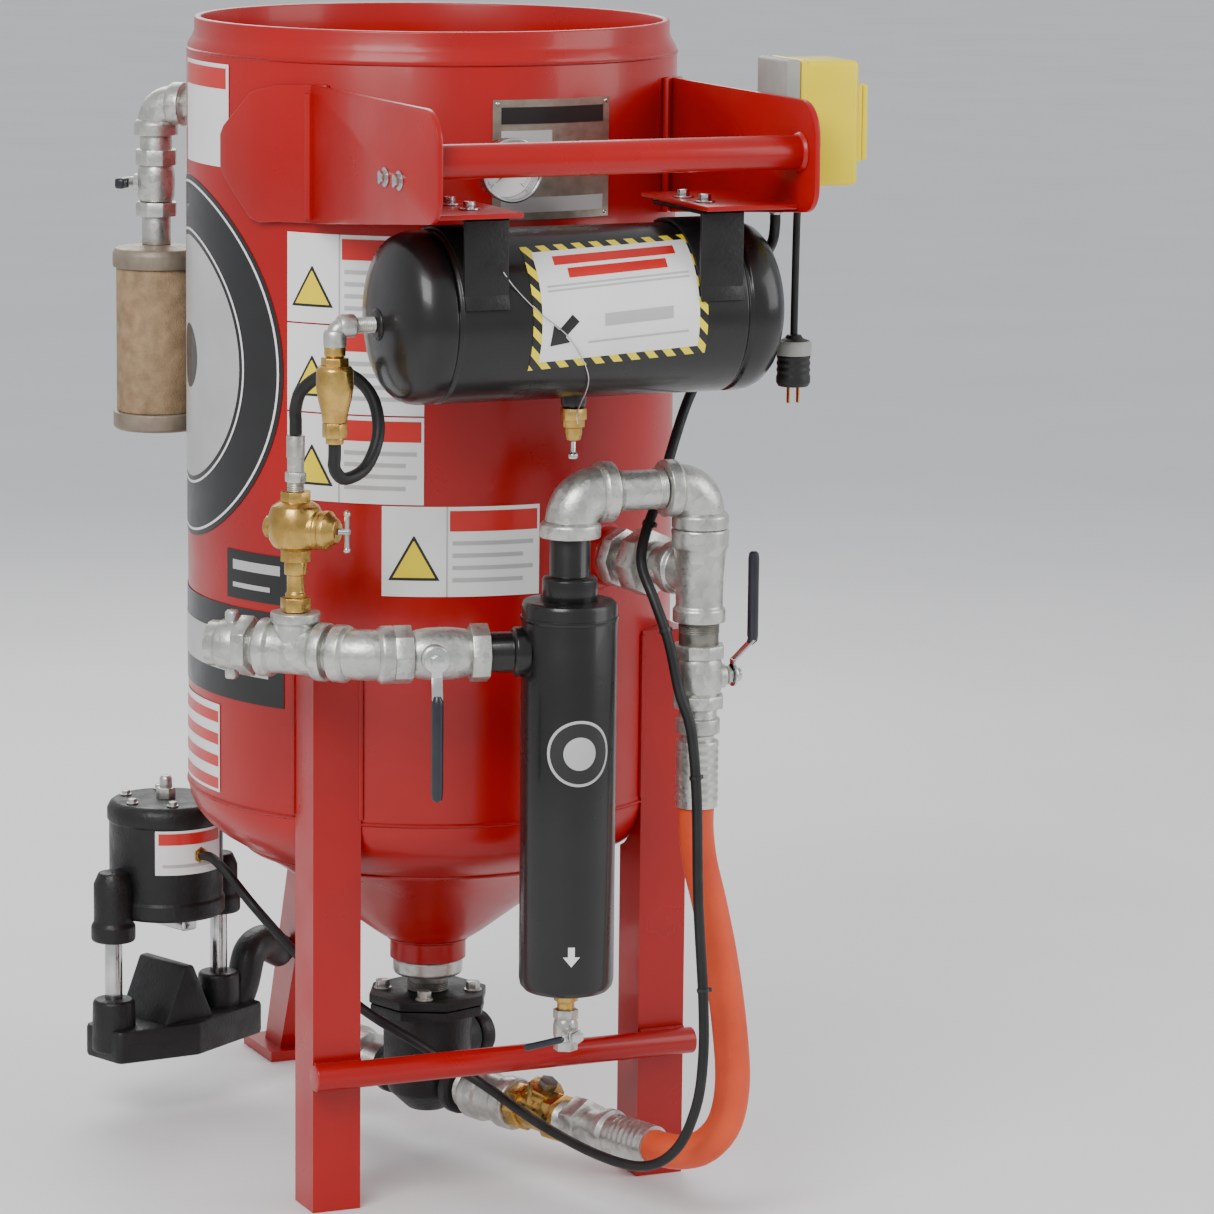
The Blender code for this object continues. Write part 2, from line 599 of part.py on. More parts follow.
def build_riser():
    column = along((RISER_X, SEP_Y, 0))
    body = turned("choke_valve_body", [(0, 0.7467), (0.0215, 0.7467), (0.0215, 0.720), (0.030, 0.718),
                                       (0.030, 0.700),
                                       (0.027, 0.698), (0.027, 0.660), (0.030, 0.658), (0.030, 0.641),
                                       (0, 0.641)],
                  "zinc", column)
    centre = Vector((RISER_X, SEP_Y, CHOKE_Z))
    fuse(body, rod("choke_stem", 0.010, 0.044, "zinc", along(centre, (1, 0, 0)), 12))
    valve_lever("choke_valve_lever", centre + Vector((0.044 + GAP, 0, 0)), (1, 0, 0), (0, 0, 1), 0.150,
                0.026,
                "black_rubber")
    turned("hose_fitting", [(0, 0.6407), (0.0245, 0.6407), (0.0245, 0.612), (0.019, 0.610), (0.019, 0.602),
                            (0.0260, 0.600), (0.0255, 0.519), (0, 0.519)], "zinc", column)


HOSE_D = 0.043
HOSE_ROUTE = [(RISER_X, SEP_Y, 0.5186), (RISER_X, SEP_Y, 0.490), (0.177, -0.441, 0.450),
              (0.188, -0.446, 0.400), (0.200, -0.455, 0.330),
              (0.208, -0.466, 0.250), (0.208, -0.478, 0.180), (0.197, -0.480, 0.130),
              (0.176, -0.470, 0.101),
              (0.158, -0.447, 0.089), (0.1441, -0.4263, PUSH_Z), (0.13703, -0.40555, PUSH_Z)]


# ---- metering valve and push line ---------------------------------------------------------------
PLUNGER_Z = 0.132
PLUNGER = Vector((-PUSH.y, PUSH.x, 0))


def build_metering_valve():
    body = turned("metering_valve_body", [(0, 0.047), (0.022, 0.047), (0.050, 0.072), (0.056, 0.090),
                                          (0.056, 0.172),
                                          (0.074, 0.176), (0.074, 0.204), (0, 0.204)], "black_coat")
    level = Vector((0, 0, PUSH_Z))
    fuse(body, rod("push_ports", 0.031, 0.150, "black_coat", along(level - PUSH * 0.075, PUSH)),
         rod("plunger_boss", 0.028, 0.070, "black_coat", along((0, 0, PLUNGER_Z), PLUNGER)))
    cut(body, rod("flow_bore", 0.018, 0.090, "black_coat", along((0, 0, 0.125)), 16),
        rod("plunger_bore", 0.0186, 0.110, "black_coat", along(Vector((0, 0, PLUNGER_Z)) - PLUNGER * 0.022,
                                                               PLUNGER), 16))
    line = along((0, 0, PLUNGER_Z), PLUNGER)
    plunger = turned("metering_plunger", [(0, -0.020), (0.017, -0.020), (0.017, 0.066), (0, 0.066)],
                     "steel", line, 16)
    pivot(plunger, Vector((0, 0, PLUNGER_Z)) + PLUNGER * 0.066)
    turned("metering_cap", [(0, 0.0860), (0.0190, 0.0860), (0.0190, 0.0703), (0.028, 0.0703),
                            (0.028, 0.094),
                            (0, 0.094)], "black_coat", line, 16)


def build_push_line():
    line = along((0, 0, PUSH_Z), PUSH)
    wye = turned("push_line", [(0, 0.0753), (0.0245, 0.0753), (0.0245, 0.092), (0.033, 0.094),
                               (0.033, 0.122),
                               (0.030, 0.124), (0.030, 0.150), (0.033, 0.152), (0.033, 0.176),
                               (0.027, 0.177),
                               (0.027, 0.195), (0.024, 0.197), (0.024, 0.246), (0.029, 0.248),
                               (0.029, 0.264),
                               (0.024, 0.265), (0.024, 0.280), (0.031, 0.282), (0.031, 0.312),
                               (0.027, 0.314),
                               (0.027, 0.338), (0.030, 0.340), (0.030, 0.352), (0.0262, 0.354),
                               (0.0258, 0.4277),
                               (0, 0.4277)], "zinc", line)
    start = Vector((0, 0, PUSH_Z)) + PUSH * 0.215
    fuse(wye, rod("wye_branch", 0.020, 0.044, "brass", along(start, PUSH * 0.45 + Vector((0, 0, 1))), 12))
    back = along((0, 0, PUSH_Z), -PUSH)
    turned("blast_outlet", [(0, 0.0753), (0.0242, 0.0753), (0.0242, 0.112), (0.036, 0.114), (0.036, 0.135),
                            (0.047, 0.137), (0.047, 0.158), (0.030, 0.160), (0.030, 0.172), (0, 0.172)],
           "zinc", back)


# ---- exhaust ------------------------------------------------------------------------------------
def build_exhaust():
    outward = Vector((math.cos(EXHAUST_ANGLE), math.sin(EXHAUST_ANGLE), 0))
    port_z, reach = 1.326, 0.040
    start = outward * 0.285 + Vector((0, 0, port_z))
    nipple = rod("exhaust_nipple", 0.0205, EXHAUST_DIST - reach - 0.280, "zinc", along(start, outward))
    corner = outward * EXHAUST_DIST + Vector((0, 0, port_z))
    bend = elbow("exhaust_elbow", corner, outward, (0, 0, -1), reach, "zinc", band=0.0270, neck=0.0235)
    fuse(bend, nipple)
    cut(bend, vessel_space())
    centre = outward * EXHAUST_DIST
    column = along((centre.x, centre.y, 0))
    top = port_z - reach - GAP
    body = turned("exhaust_valve_body", [(0, top), (0.0205, top), (0.0205, 1.272), (0.026, 1.270),
                                         (0.026, 1.248),
                                         (0.023, 1.246), (0.023, 1.202), (0.026, 1.200), (0.026, 1.182),
                                         (0.0185, 1.180), (0.0185, 1.147), (0, 1.147)], "zinc", column)
    stem = centre + Vector((0, 0, 1.224))
    fuse(body, rod("exhaust_stem", 0.008, 0.036, "zinc", along(stem, outward), 10))
    hub = stem + outward * (0.036 + GAP)
    grip = block("exhaust_handle", (0.016, 0.046, 0.014), "black_rubber",
                 along(hub + outward * 0.016, outward), 0.004)
    fuse(grip, rod("exhaust_hub", 0.010, 0.012, "black_rubber", along(hub, outward), 12))
    pivot(grip, hub)
    turned("muffler_caps", [(0, 1.1467), (0.026, 1.1467), (0.046, 1.140), (0.056, 1.130), (0.056, 1.118),
                            (0.004, 1.118), (0.004, 0.933), (0.056, 0.933), (0.056, 0.916), (0.050, 0.910),
                            (0, 0.910)], "grey_plastic", column, 24)
    turned("muffler_body", [(0.046, 0.9333), (0.0515, 0.9333), (0.0515, 1.1177), (0.046, 1.1177)],
           "tan_bronze",
           column, 24)


# ---- hose pinch valve ---------------------------------------------------------------------------
def build_pinch_valve():
    across = Vector((RODS.y, -RODS.x, 0))
    turn = Matrix.Rotation(math.atan2(RODS.y, RODS.x), 4, "Z")
    outline = rounded([(-0.122, -0.036, 0.012), (-0.010, -0.066, 0.010), (0.128, -0.032, 0.012),
                       (0.128, 0.032, 0.012),
                       (0.010, 0.066, 0.010), (-0.122, 0.036, 0.012)], 2)
    base = plate("pinch_base", outline, 0.044, "black_coat",
                 Matrix.Translation(PINCH + RODS * 0.012 + Vector((0, 0, 0.078))) @ turn)
    anvil = plate("anvil", rounded([(-0.050, 0.100, 0), (0.050, 0.100, 0), (0.006, 0.197, 0.006),
                                    (-0.006, 0.197, 0.006)],
                                   2), 0.096, "black_coat", upright(PINCH - across * 0.048, RODS))
    fuse(base, anvil)
    cylinder = turned("pinch_cylinder", [(0, 0.335), (0.0315, 0.335), (0.0315, 0.262), (0.077, 0.262),
                                         (0.077, 0.404),
                                         (0.068, 0.414), (0, 0.414)], "black_coat", along(PINCH), 32)
    for side, name, top, bottom in ((-1, "left", 0.158, 0.236), (1, "right", 0.166, 0.248)):
        at = PINCH + RODS * side * ROD_HALF
        fuse(base, rod("pinch_socket_" + name, 0.027, top - 0.09, "black_coat",
                       along(at + Vector((0, 0, 0.09))), 16))
        fuse(cylinder, rod("pinch_ear_" + name, 0.026, 0.33 - bottom, "black_coat",
                           along(at + Vector((0, 0, bottom))), 16))
        fuse(base, rod("pinch_rod_" + name, 0.0115, bottom - top + 0.01 - GAP, "steel",
                       along(at + Vector((0, 0, top - 0.01))), 12))
    jaw = block("pinch_plunger", (0.024, 0.100, 0.018), "black_coat",
                Matrix.Translation(PINCH + Vector((0, 0,
                                                   0.2525))) @ Matrix.Rotation(RODS.to_2d().angle_signed((1,
                                                                                                          0)), 4, "Z"),
                0.003)
    fuse(jaw, rod("pinch_piston", 0.0305, 0.070, "steel", along(PINCH + Vector((0, 0, 0.2565))), 16))
    pivot(jaw, PINCH + Vector((0, 0, 0.262)))
    arm = [PINCH + RODS * 0.112 + Vector((0, 0, 0.095)), (-0.126, 0.347, 0.150), (-0.112, 0.357, 0.185),
           (-0.085, 0.380, 0.190), (-0.066, 0.400, 0.172), (-0.0500, 0.414, 0.164)]
    fuse(base, swept("pinch_arm", arm, [0.022, 0.023, 0.024, 0.024, 0.022, 0.020], "black_coat", 14))


# ---- gauge, plate, control box ------------------------------------------------------------------
GAUGE = Vector((-0.050, -0.352, 1.290))


def build_gauge():
    line = along(GAUGE, (0, -1, 0))
    cup = turned("gauge_case", [(0, 0.010), (0.0335, 0.010), (0.0335, 0.031), (0.0385, 0.031),
                                (0.0385, 0.003),
                                (0.035, 0), (0, 0)], "steel", line, 28)
    fuse(cup, rod("gauge_stem", 0.008, 0.050, "brass", along(GAUGE + Vector((0, 0.049, 0)), (0, -1, 0)),
                  12))
    needle = block("gauge_needle", (0.0025, 0.0015, 0.026), "black_rubber",
                   Matrix.Translation(GAUGE + Vector((0, -0.0142, 0))) @ Matrix.Rotation(math.radians(-135),
                                                                                         4, "Y")
                   @ Matrix.Translation((0, 0, 0.009)))
    fuse(needle, rod("needle_hub", 0.004, 0.004, "black_rubber",
                     along(GAUGE + Vector((0, -0.0121, 0)), (0, -1, 0)), 12))
    pivot(needle, GAUGE)


def build_control_box():
    back = HANDLE_X + PLATE / 2 + GAP
    y0, y1 = -0.520, -0.435
    middle, deep = (y0 + y1) / 2, y1 - y0

    def slab(name, x0, x1, z0, z1, finish):
        return block(name, (x1 - x0, deep, z1 - z0), finish,
                     Matrix.Translation(((x0 + x1) / 2, middle, (z0 + z1) / 2)), 0.002)

    box = slab("control_box_back", back, 0.258, 1.272, 1.424, "grey_plastic")
    cover = slab("control_box_cover", 0.2583, 0.335, 1.274, 1.422, "yellow_plastic")
    fuse(cover, slab("cover_step", 0.300, 0.343, 1.301, 1.395, "yellow_plastic"))
    lid = slab("control_box_lid", 0.3433, 0.350, 1.303, 1.393, "yellow_plastic")
    pivot(lid, (0.3433, middle, 1.393))
    fuse(box, rod("conduit_fitting", 0.0070, 0.045, "zinc", along((0.2505, -0.470, 1.2377)), 12))


CABLE_D = 0.009
CABLE_ROUTE = [(0.276, -0.478, 1.2736), (0.276, -0.478, 1.255), (0.2745, -0.479, 1.215),
               (0.2740, -0.478, 1.112),
               (0.2740, -0.478, 1.0944)]
CONTROL_D = 0.0127
CONTROL_ROUTE = [
    (0.2505, -0.470, 1.2373), (0.2505, -0.470, 1.225), (0.2525, -0.460, 1.205), (0.261, -0.420, 1.180),
                 (0.266, -0.372, 1.140),
    (0.252, -0.331, 1.090), (0.226, -0.331, 1.043), (0.196, -0.345, 0.998), (0.170, -0.360, 0.945),
    (0.146, -0.378, 0.893), (0.121, -0.394, 0.850), (0.108, -0.412, 0.815), (0.113, -0.440, 0.775),
    (0.123, -0.460, 0.728), (0.134, -0.468, 0.668), (0.146, -0.478, 0.620), (0.151, -0.486, 0.536),
    (0.152, -0.492, 0.415), (0.155, -0.504, 0.293), (0.152, -0.512, 0.222), (0.142, -0.515, 0.164),
    (0.125, -0.498, 0.110), (0.102, -0.458, 0.080), (0.072, -0.390, 0.078), (0.040, -0.280, 0.092),
    (0.006, -0.168, 0.120), (-0.052, -0.105, 0.160), (-0.108, -0.060, 0.198), (-0.150, 0.040, 0.240),
    (-0.180, 0.140, 0.290), (-0.210, 0.176, 0.336), (-0.220, 0.2046, 0.350), (-0.2266, 0.2256, 0.350)]


def build_cords():
    cord("air_hose_loop", LOOP_ROUTE, 0.0150, "black_rubber")
    cord("blast_air_hose", HOSE_ROUTE, HOSE_D, "orange_hose", resolution=3)
    cord("power_cable", CABLE_ROUTE, CABLE_D, "black_rubber")
    cord("control_hose", CONTROL_ROUTE, CONTROL_D, "black_rubber")
    plug = turned("power_plug", [(0, 1.094), (0.014, 1.094), (0.0205, 1.086), (0.0205, 1.036),
                                 (0.017, 1.032),
                                 (0, 1.032)], "black_rubber", along((0.2740, -0.478, 0)), 16)
    for side in (-1, 1):
        fuse(plug, block("blade_%d" % (side + 1), (0.0015, 0.007, 0.022), "brass",
                         Matrix.Translation((0.2740 + side * 0.0063, -0.478, 1.023))))


def centre_on_floor():
    """Moves the pot level, so that the box round its rigid parts is centred on the origin."""
    bpy.context.view_layer.update()
    graph = bpy.context.evaluated_depsgraph_get()
    corners = []
    for obj in bpy.data.objects:
        if obj.type == "MESH" and not obj.hide_render and obj.name != "power_plug":
            mesh = obj.evaluated_get(graph).data
            corners += [obj.matrix_world @ vert.co for vert in mesh.vertices]
    middle = [(min(c[i] for c in corners) + max(c[i] for c in corners)) / 2 for i in (0, 1)]
    for obj in bpy.data.objects:
        if obj.parent is None:
            obj.matrix_world = Matrix.Translation((-middle[0], -middle[1], 0)) @ obj.matrix_world


def main():
    for obj in list(bpy.data.objects):
        bpy.data.objects.remove(obj, do_unlink=True)
    build_vessel()
    build_fill_valve()
    build_outlet()
    build_legs()
    build_handle()
    build_tank()
    build_tank_chain()
    build_inlet()
    build_regulator()
    build_separator()
    build_crossover()
    build_riser()
    build_metering_valve()
    build_push_line()
    build_exhaust()
    build_pinch_valve()
    build_gauge()
    build_control_box()
    build_cords()
    centre_on_floor()


main()
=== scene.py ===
"""Looks for a portable abrasive blast pot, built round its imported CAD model.

The pot stands on three legs with its handle, air tank and inlet piping on the -Y side. Sizes are in
metres and are measured from the vessel's axis at floor level. ``Assembly.finish`` moves each finished
piece from there into the CAD frame.
"""

from __future__ import annotations

import logging
import math
from collections.abc import Callable, Iterable, Sequence
from dataclasses import dataclass, field
from enum import Enum
from functools import partial

import bpy
from mathutils import Matrix, Vector

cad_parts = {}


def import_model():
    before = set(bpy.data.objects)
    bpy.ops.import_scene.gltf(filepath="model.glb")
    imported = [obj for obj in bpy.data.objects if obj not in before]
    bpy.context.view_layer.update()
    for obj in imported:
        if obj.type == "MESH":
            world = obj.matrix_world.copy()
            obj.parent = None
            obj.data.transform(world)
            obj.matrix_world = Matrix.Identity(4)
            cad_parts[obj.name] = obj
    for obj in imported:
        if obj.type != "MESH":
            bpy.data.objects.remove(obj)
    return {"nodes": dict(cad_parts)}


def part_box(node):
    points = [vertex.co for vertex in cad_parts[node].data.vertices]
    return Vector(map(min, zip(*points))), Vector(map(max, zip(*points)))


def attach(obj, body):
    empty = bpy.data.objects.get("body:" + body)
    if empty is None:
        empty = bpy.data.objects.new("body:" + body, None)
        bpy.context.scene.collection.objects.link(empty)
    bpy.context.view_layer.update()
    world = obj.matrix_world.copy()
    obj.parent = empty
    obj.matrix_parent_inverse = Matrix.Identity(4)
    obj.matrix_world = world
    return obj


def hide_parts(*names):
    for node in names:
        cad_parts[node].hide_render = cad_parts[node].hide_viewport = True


LOG = logging.getLogger("blast_pot")

Piece = bpy.types.Object
Point = Sequence[float]
Profile = Sequence[tuple[float, float]]

GAP = 0.0003
SKIN = 0.0003
MERGE = 0.00001
SMOOTH_BELOW = 32.0
BASE_LAYER, PRINT_LAYER, TOP_LAYER = 0.0008, 0.0013, 0.0018
SHELL_R = 0.305
WALL = 0.007
SEAM_Z = 0.485
RIM_TOP = 1.447
TANK_R = 0.1015
TANK_Y, TANK_Z = -0.44, 1.128
TANK_X0, TANK_X1 = -0.245, 0.2535
PIPE_R = 0.0242
SEP_X, SEP_Y = 0.002, -0.44
CROSS_Z = 0.911
RISER_X = 0.172
TEE_Z = 0.807
INLET_Z = 0.722
PUSH_Z = 0.087
PUSH = Vector((0.32, -0.947, 0)).normalized()
PINCH = Vector((-0.25, 0.3, 0))
RODS = Vector((0.938, 0.346, 0)).normalized()
UP = Vector((0, 0, 1))
POT = "pot"


def level(degrees: float) -> Vector:
    """A level direction, turned from -X towards +Y."""
    return Vector((-math.cos(math.radians(degrees)), math.sin(math.radians(degrees)), 0))


INLET_A, INLET_B = level(13), level(46)
SEPARATOR = Vector((SEP_X, SEP_Y, INLET_Z))
ELBOW_AT = SEPARATOR + INLET_A * 0.248
TEE_AT = ELBOW_AT + INLET_B * 0.088
OUTWARD = Vector((-INLET_A.y, INLET_A.x, 0))


def along(origin: Point, axis: Point = (0, 0, 1), spin: float = 0.0) -> Matrix:
    """A placement whose local +Z runs along axis from origin, turned by spin radians about it."""
    turn = Vector(axis).to_track_quat("Z", "Y").to_matrix().to_4x4()
    return Matrix.Translation(Vector(origin)) @ turn @ Matrix.Rotation(spin, 4, "Z")


def shift(x: float, y: float, z: float) -> Matrix:
    """A placement moved from the origin and not turned."""
    return Matrix.Translation((x, y, z))


def capped(*points: tuple[float, float]) -> Profile:
    """The section of a solid, from the points of its outside, closed to the axis at both ends."""
    return [(0, points[0][1]), *points, (0, points[-1][1])]


def solid(radius: float, low: float, high: float) -> Profile:
    """The section of a plain round bar between two heights."""
    return capped((radius, low), (radius, high))


def hollow(inner: float, outer: float, low: float, high: float) -> Profile:
    """The section of a plain ring between two radii and two heights."""
    return [(inner, low), (outer, low), (outer, high), (inner, high)]


def facing(origin: Point, right: Point, up: Point = (0, 0, 1)) -> Matrix:
    """A placement whose local X is right and whose local Y is up."""
    across, rise = Vector(right).normalized(), Vector(up).normalized()
    turn = Matrix((across, rise, across.cross(rise))).transposed().to_4x4()
    return Matrix.Translation(Vector(origin)) @ turn


def looking(eye: Vector, aim: Vector) -> Matrix:
    """A placement at eye whose local -Z points at aim."""
    return Matrix.Translation(eye) @ (aim - eye).to_track_quat("-Z", "Y").to_matrix().to_4x4()


# ---- finishes -----------------------------------------------------------------------------------
class Pattern(Enum):
    """What a finish's colour follows."""

    CLOUDS = "clouds"
    SPANGLE = "spangle"
    STRIPES = "stripes"


@dataclass(frozen=True)
class Finish:
    """One surface finish.

    Attributes:
        name: the material's name.
        slot: the record's material slot that it stands for; not used.
        light, dark: the two linear colours that the pattern varies between.
        rough: the lowest and highest roughness.
        metallic: the shader's metallic value.
        coat: the weight of a clear coat.
        scale: the pattern's scale, in features per metre.
        bump: the depth of the fine relief, in metres.
        grain: the relief's scale, in features per metre.
        pattern: what the colour follows.
    """

    name: str
    slot: str
    light: tuple[float, float, float]
    dark: tuple[float, float, float]
    rough: tuple[float, float] = (0.3, 0.5)
    metallic: float = 0.0
    coat: float = 0.0
    scale: float = 6.0
    bump: float = 0.0001
    grain: float = 60.0
    pattern: Pattern = Pattern.CLOUDS


LABEL = partial(Finish, rough=(0.3, 0.42), coat=0.2, scale=10.0, bump=0.00005, grain=60.0)
RED = Finish("red_enamel", "red_paint", (0.42, 0.0006, 0.0006), (0.33, 0.0004, 0.0004), (0.26, 0.4),
             coat=0.15, scale=5.0, bump=0.00018, grain=30.0)
WELD = Finish("painted_weld", "red_paint", (0.39, 0.0006, 0.0006), (0.27, 0.0004, 0.0004), (0.26, 0.4),
              coat=0.15, scale=8.0, bump=0.0012, grain=130.0)
BLACK = Finish("black_enamel", "black_coat", (0.009, 0.008, 0.008), (0.005, 0.005, 0.005), (0.24, 0.38),
               coat=0.2, scale=8.0, bump=0.0002, grain=90.0)
CAST = Finish("black_casting", "black_coat", (0.011, 0.01, 0.01), (0.005, 0.005, 0.005), (0.34, 0.58),
              coat=0.05, scale=18.0, bump=0.0011, grain=220.0)
ZINC = Finish("galvanised", "zinc", (0.66, 0.66, 0.62), (0.4, 0.4, 0.37), (0.26, 0.46), metallic=0.85,
              scale=95.0, bump=0.0006, grain=150.0, pattern=Pattern.SPANGLE)
STEEL = Finish("bright_steel", "steel", (0.7, 0.7, 0.69), (0.52, 0.52, 0.51), (0.14, 0.3), metallic=1.0,
               scale=30.0, bump=0.00008, grain=300.0)
DULL = Finish("dull_steel", "steel", (0.3, 0.29, 0.26), (0.16, 0.15, 0.13), (0.35, 0.55), metallic=0.9,
              scale=40.0, bump=0.0004, grain=200.0)
BRASS = Finish("turned_brass", "brass", (0.68, 0.44, 0.13), (0.45, 0.27, 0.07), (0.2, 0.4), metallic=1.0,
               scale=45.0, bump=0.0003, grain=180.0)
ORANGE = Finish("orange_jacket", "orange_hose", (0.74, 0.085, 0.022), (0.6, 0.055, 0.014), (0.45, 0.62),
                scale=14.0, bump=0.0005, grain=160.0)
RUBBER = Finish("moulded_rubber", "black_rubber", (0.014, 0.014, 0.014), (0.006, 0.006, 0.006),
                (0.38, 0.58), scale=30.0, bump=0.0004, grain=260.0)
GRIP = Finish("vinyl_grip", "black_rubber", (0.014, 0.017, 0.026), (0.008, 0.01, 0.016), (0.28, 0.42),
              coat=0.3, scale=30.0, bump=0.0002, grain=160.0)
YELLOW = Finish("yellow_moulding", "yellow_plastic", (0.9, 0.72, 0.0), (0.82, 0.64, 0.0), (0.3, 0.45),
                coat=0.1, scale=12.0, bump=0.0002, grain=240.0)
GREY = Finish("grey_moulding", "grey_plastic", (0.36, 0.36, 0.33), (0.26, 0.26, 0.24), (0.4, 0.55),
              scale=20.0, bump=0.0003, grain=240.0)
CAP = Finish("cast_cap", "tan_bronze", (0.34, 0.28, 0.21), (0.22, 0.175, 0.13), (0.38, 0.58), metallic=0.5,
             scale=30.0, bump=0.0006, grain=200.0)
TAN = Finish("sintered_element", "tan_bronze", (0.4, 0.27, 0.155), (0.25, 0.165, 0.09), (0.65, 0.85),
             metallic=0.15, scale=55.0, bump=0.0016, grain=420.0)
WHITE = LABEL("label_white", "grey_plastic", (0.86, 0.86, 0.84), (0.78, 0.78, 0.76))
SIGNAL = LABEL("label_red", "red_paint", (0.6, 0.02, 0.015), (0.52, 0.015, 0.012))
AMBER = LABEL("label_yellow", "yellow_plastic", (0.88, 0.68, 0.01), (0.8, 0.6, 0.01))
INK = LABEL("label_black", "black_rubber", (0.016, 0.016, 0.016), (0.01, 0.01, 0.01))
FAINT = LABEL("label_grey", "grey_plastic", (0.5, 0.5, 0.49), (0.42, 0.42, 0.41))
HAZARD = Finish("hazard_stripes", "yellow_plastic", (0.9, 0.72, 0.01), (0.012, 0.012, 0.012), (0.28, 0.4),
                coat=0.2, scale=42.0, bump=0.00005, pattern=Pattern.STRIPES)
PLATE = Finish("etched_plate", "steel", (0.42, 0.38, 0.31), (0.3, 0.27, 0.22), (0.3, 0.45), metallic=0.8,
               scale=60.0, bump=0.0002, grain=300.0)
CONCRETE = Finish("pale_floor", "", (0.86, 0.86, 0.86), (0.82, 0.82, 0.82), (0.55, 0.7), scale=1.5,
                  grain=20.0)


class Value:
    """A number travelling through a material's nodes, with ordinary arithmetic."""

    def __init__(self, graph: Graph, socket: bpy.types.NodeSocket) -> None:
        """Wraps one output socket of the graph."""
        self.graph, self.socket = graph, socket

    def _maths(self, operation: str, other: Value | float) -> Value:
        """A Math node of this value and another."""
        node = self.graph.node("ShaderNodeMath", {"operation": operation}, {0: self, 1: other})
        return Value(self.graph, node.outputs[0])

    def __add__(self, other: Value | float) -> Value:
        """The sum."""
        return self._maths("ADD", other)

    def __mul__(self, other: Value | float) -> Value:
        """The product."""
        return self._maths("MULTIPLY", other)

    def __rsub__(self, other: float) -> Value:
        """What is left of a number when this is taken from it."""
        return self * -1.0 + other

    def __gt__(self, other: Value | float) -> Value:
        """One where this is larger, and otherwise nought. Python also calls it for number < value."""
        return self._maths("GREATER_THAN", other)

    __radd__ = __add__
    __rmul__ = __mul__

    def fraction(self) -> Value:
        """What is left past the last whole number."""
        return self._maths("FRACT", 0.0)


class Graph:
    """The node graph of one material."""

    def __init__(self, name: str) -> None:
        """Starts a material with a Principled shader."""
        self.material = bpy.data.materials.new(name)
        self.material.use_nodes = True
        self.tree = self.material.node_tree
        self.shader = self.tree.nodes["Principled BSDF"]
        self.place = self.node("ShaderNodeTexCoord", {}, {}).outputs["Object"]

    def node(self, kind: str, settings: dict, inputs: dict) -> bpy.types.Node:
        """Adds a node.

        Args:
            kind: the node's Blender type.
            settings: its attributes.
            inputs: values, wrapped values or sockets, by input name or index.

        Returns:
            The new node.
        """
        made = self.tree.nodes.new(kind)
        for key, value in settings.items():
            setattr(made, key, value)
        for key, value in inputs.items():
            if isinstance(value, Value):
                self.tree.links.new(value.socket, made.inputs[key])
            elif isinstance(value, bpy.types.NodeSocket):
                self.tree.links.new(value, made.inputs[key])
            else:
                made.inputs[key].default_value = value
        return made

    def clouds(self, scale: float, detail: float = 3.0) -> Value:
        """Soft noise from 0 to 1."""
        made = self.node("ShaderNodeTexNoise", {}, {"Vector": self.place, "Scale": scale, "Detail": detail})
        return Value(self, made.outputs[0])

    def spangle(self, scale: float) -> Value:
        """Crystal patches, as on hot-dipped zinc."""
        made = self.node("ShaderNodeTexVoronoi", {}, {"Vector": self.place, "Scale": scale})
        grey = self.node("ShaderNodeSeparateColor", {}, {0: made.outputs["Color"]})
        return Value(self, grey.outputs[0])

    def stripes(self, scale: float) -> Value:
        """Slanting bars across X and Z."""
        parts = self.node("ShaderNodeSeparateXYZ", {}, {0: self.place})
        across = Value(self, parts.outputs[0]) + Value(self, parts.outputs[2])
        return (across * scale).fraction() > 0.5

    def stretch(self, source: Value, low: float, high: float) -> Value:
        """Maps 0.3 to 0.7, where noise mostly lies, onto low to high."""
        made = self.node("ShaderNodeMapRange", {}, {0: source, 1: 0.3, 2: 0.7, 3: low, 4: high})
        return Value(self, made.outputs[0])


def material(finish: Finish) -> bpy.types.Material:
    """The procedural material of a finish, made once.

    Args:
        finish: the finish wanted.

    Returns:
        Its material.
    """
    if finish.name in bpy.data.materials:
        return bpy.data.materials[finish.name]
    graph = Graph(finish.name)
    if finish.pattern is Pattern.STRIPES:
        amount = graph.stripes(finish.scale)
    elif finish.pattern is Pattern.SPANGLE:
        amount = 0.6 * graph.spangle(finish.scale) + 0.4 * graph.clouds(finish.scale * 0.3)
    else:
        amount = graph.stretch(graph.clouds(finish.scale), 0.0, 1.0)
    colour = graph.node("ShaderNodeMix", {"data_type": "RGBA"}, {0: amount})
    colour.inputs[6].default_value = (*finish.light, 1)
    colour.inputs[7].default_value = (*finish.dark, 1)
    graph.tree.links.new(colour.outputs[2], graph.shader.inputs["Base Color"])
    rough = graph.stretch(graph.clouds(finish.scale * 2.3, 5.0), *finish.rough)
    graph.tree.links.new(rough.socket, graph.shader.inputs["Roughness"])
    relief = graph.clouds(finish.grain, 2.0)
    bump = graph.node("ShaderNodeBump", {}, {"Height": relief, "Distance": finish.bump, "Strength": 0.6})
    graph.tree.links.new(bump.outputs[0], graph.shader.inputs["Normal"])
    graph.shader.inputs["Metallic"].default_value = finish.metallic
    graph.shader.inputs["Coat Weight"].default_value = finish.coat
    graph.shader.inputs["Coat Roughness"].default_value = 0.08
    graph.shader.inputs["Specular IOR Level"].default_value = 0.4
    return graph.material


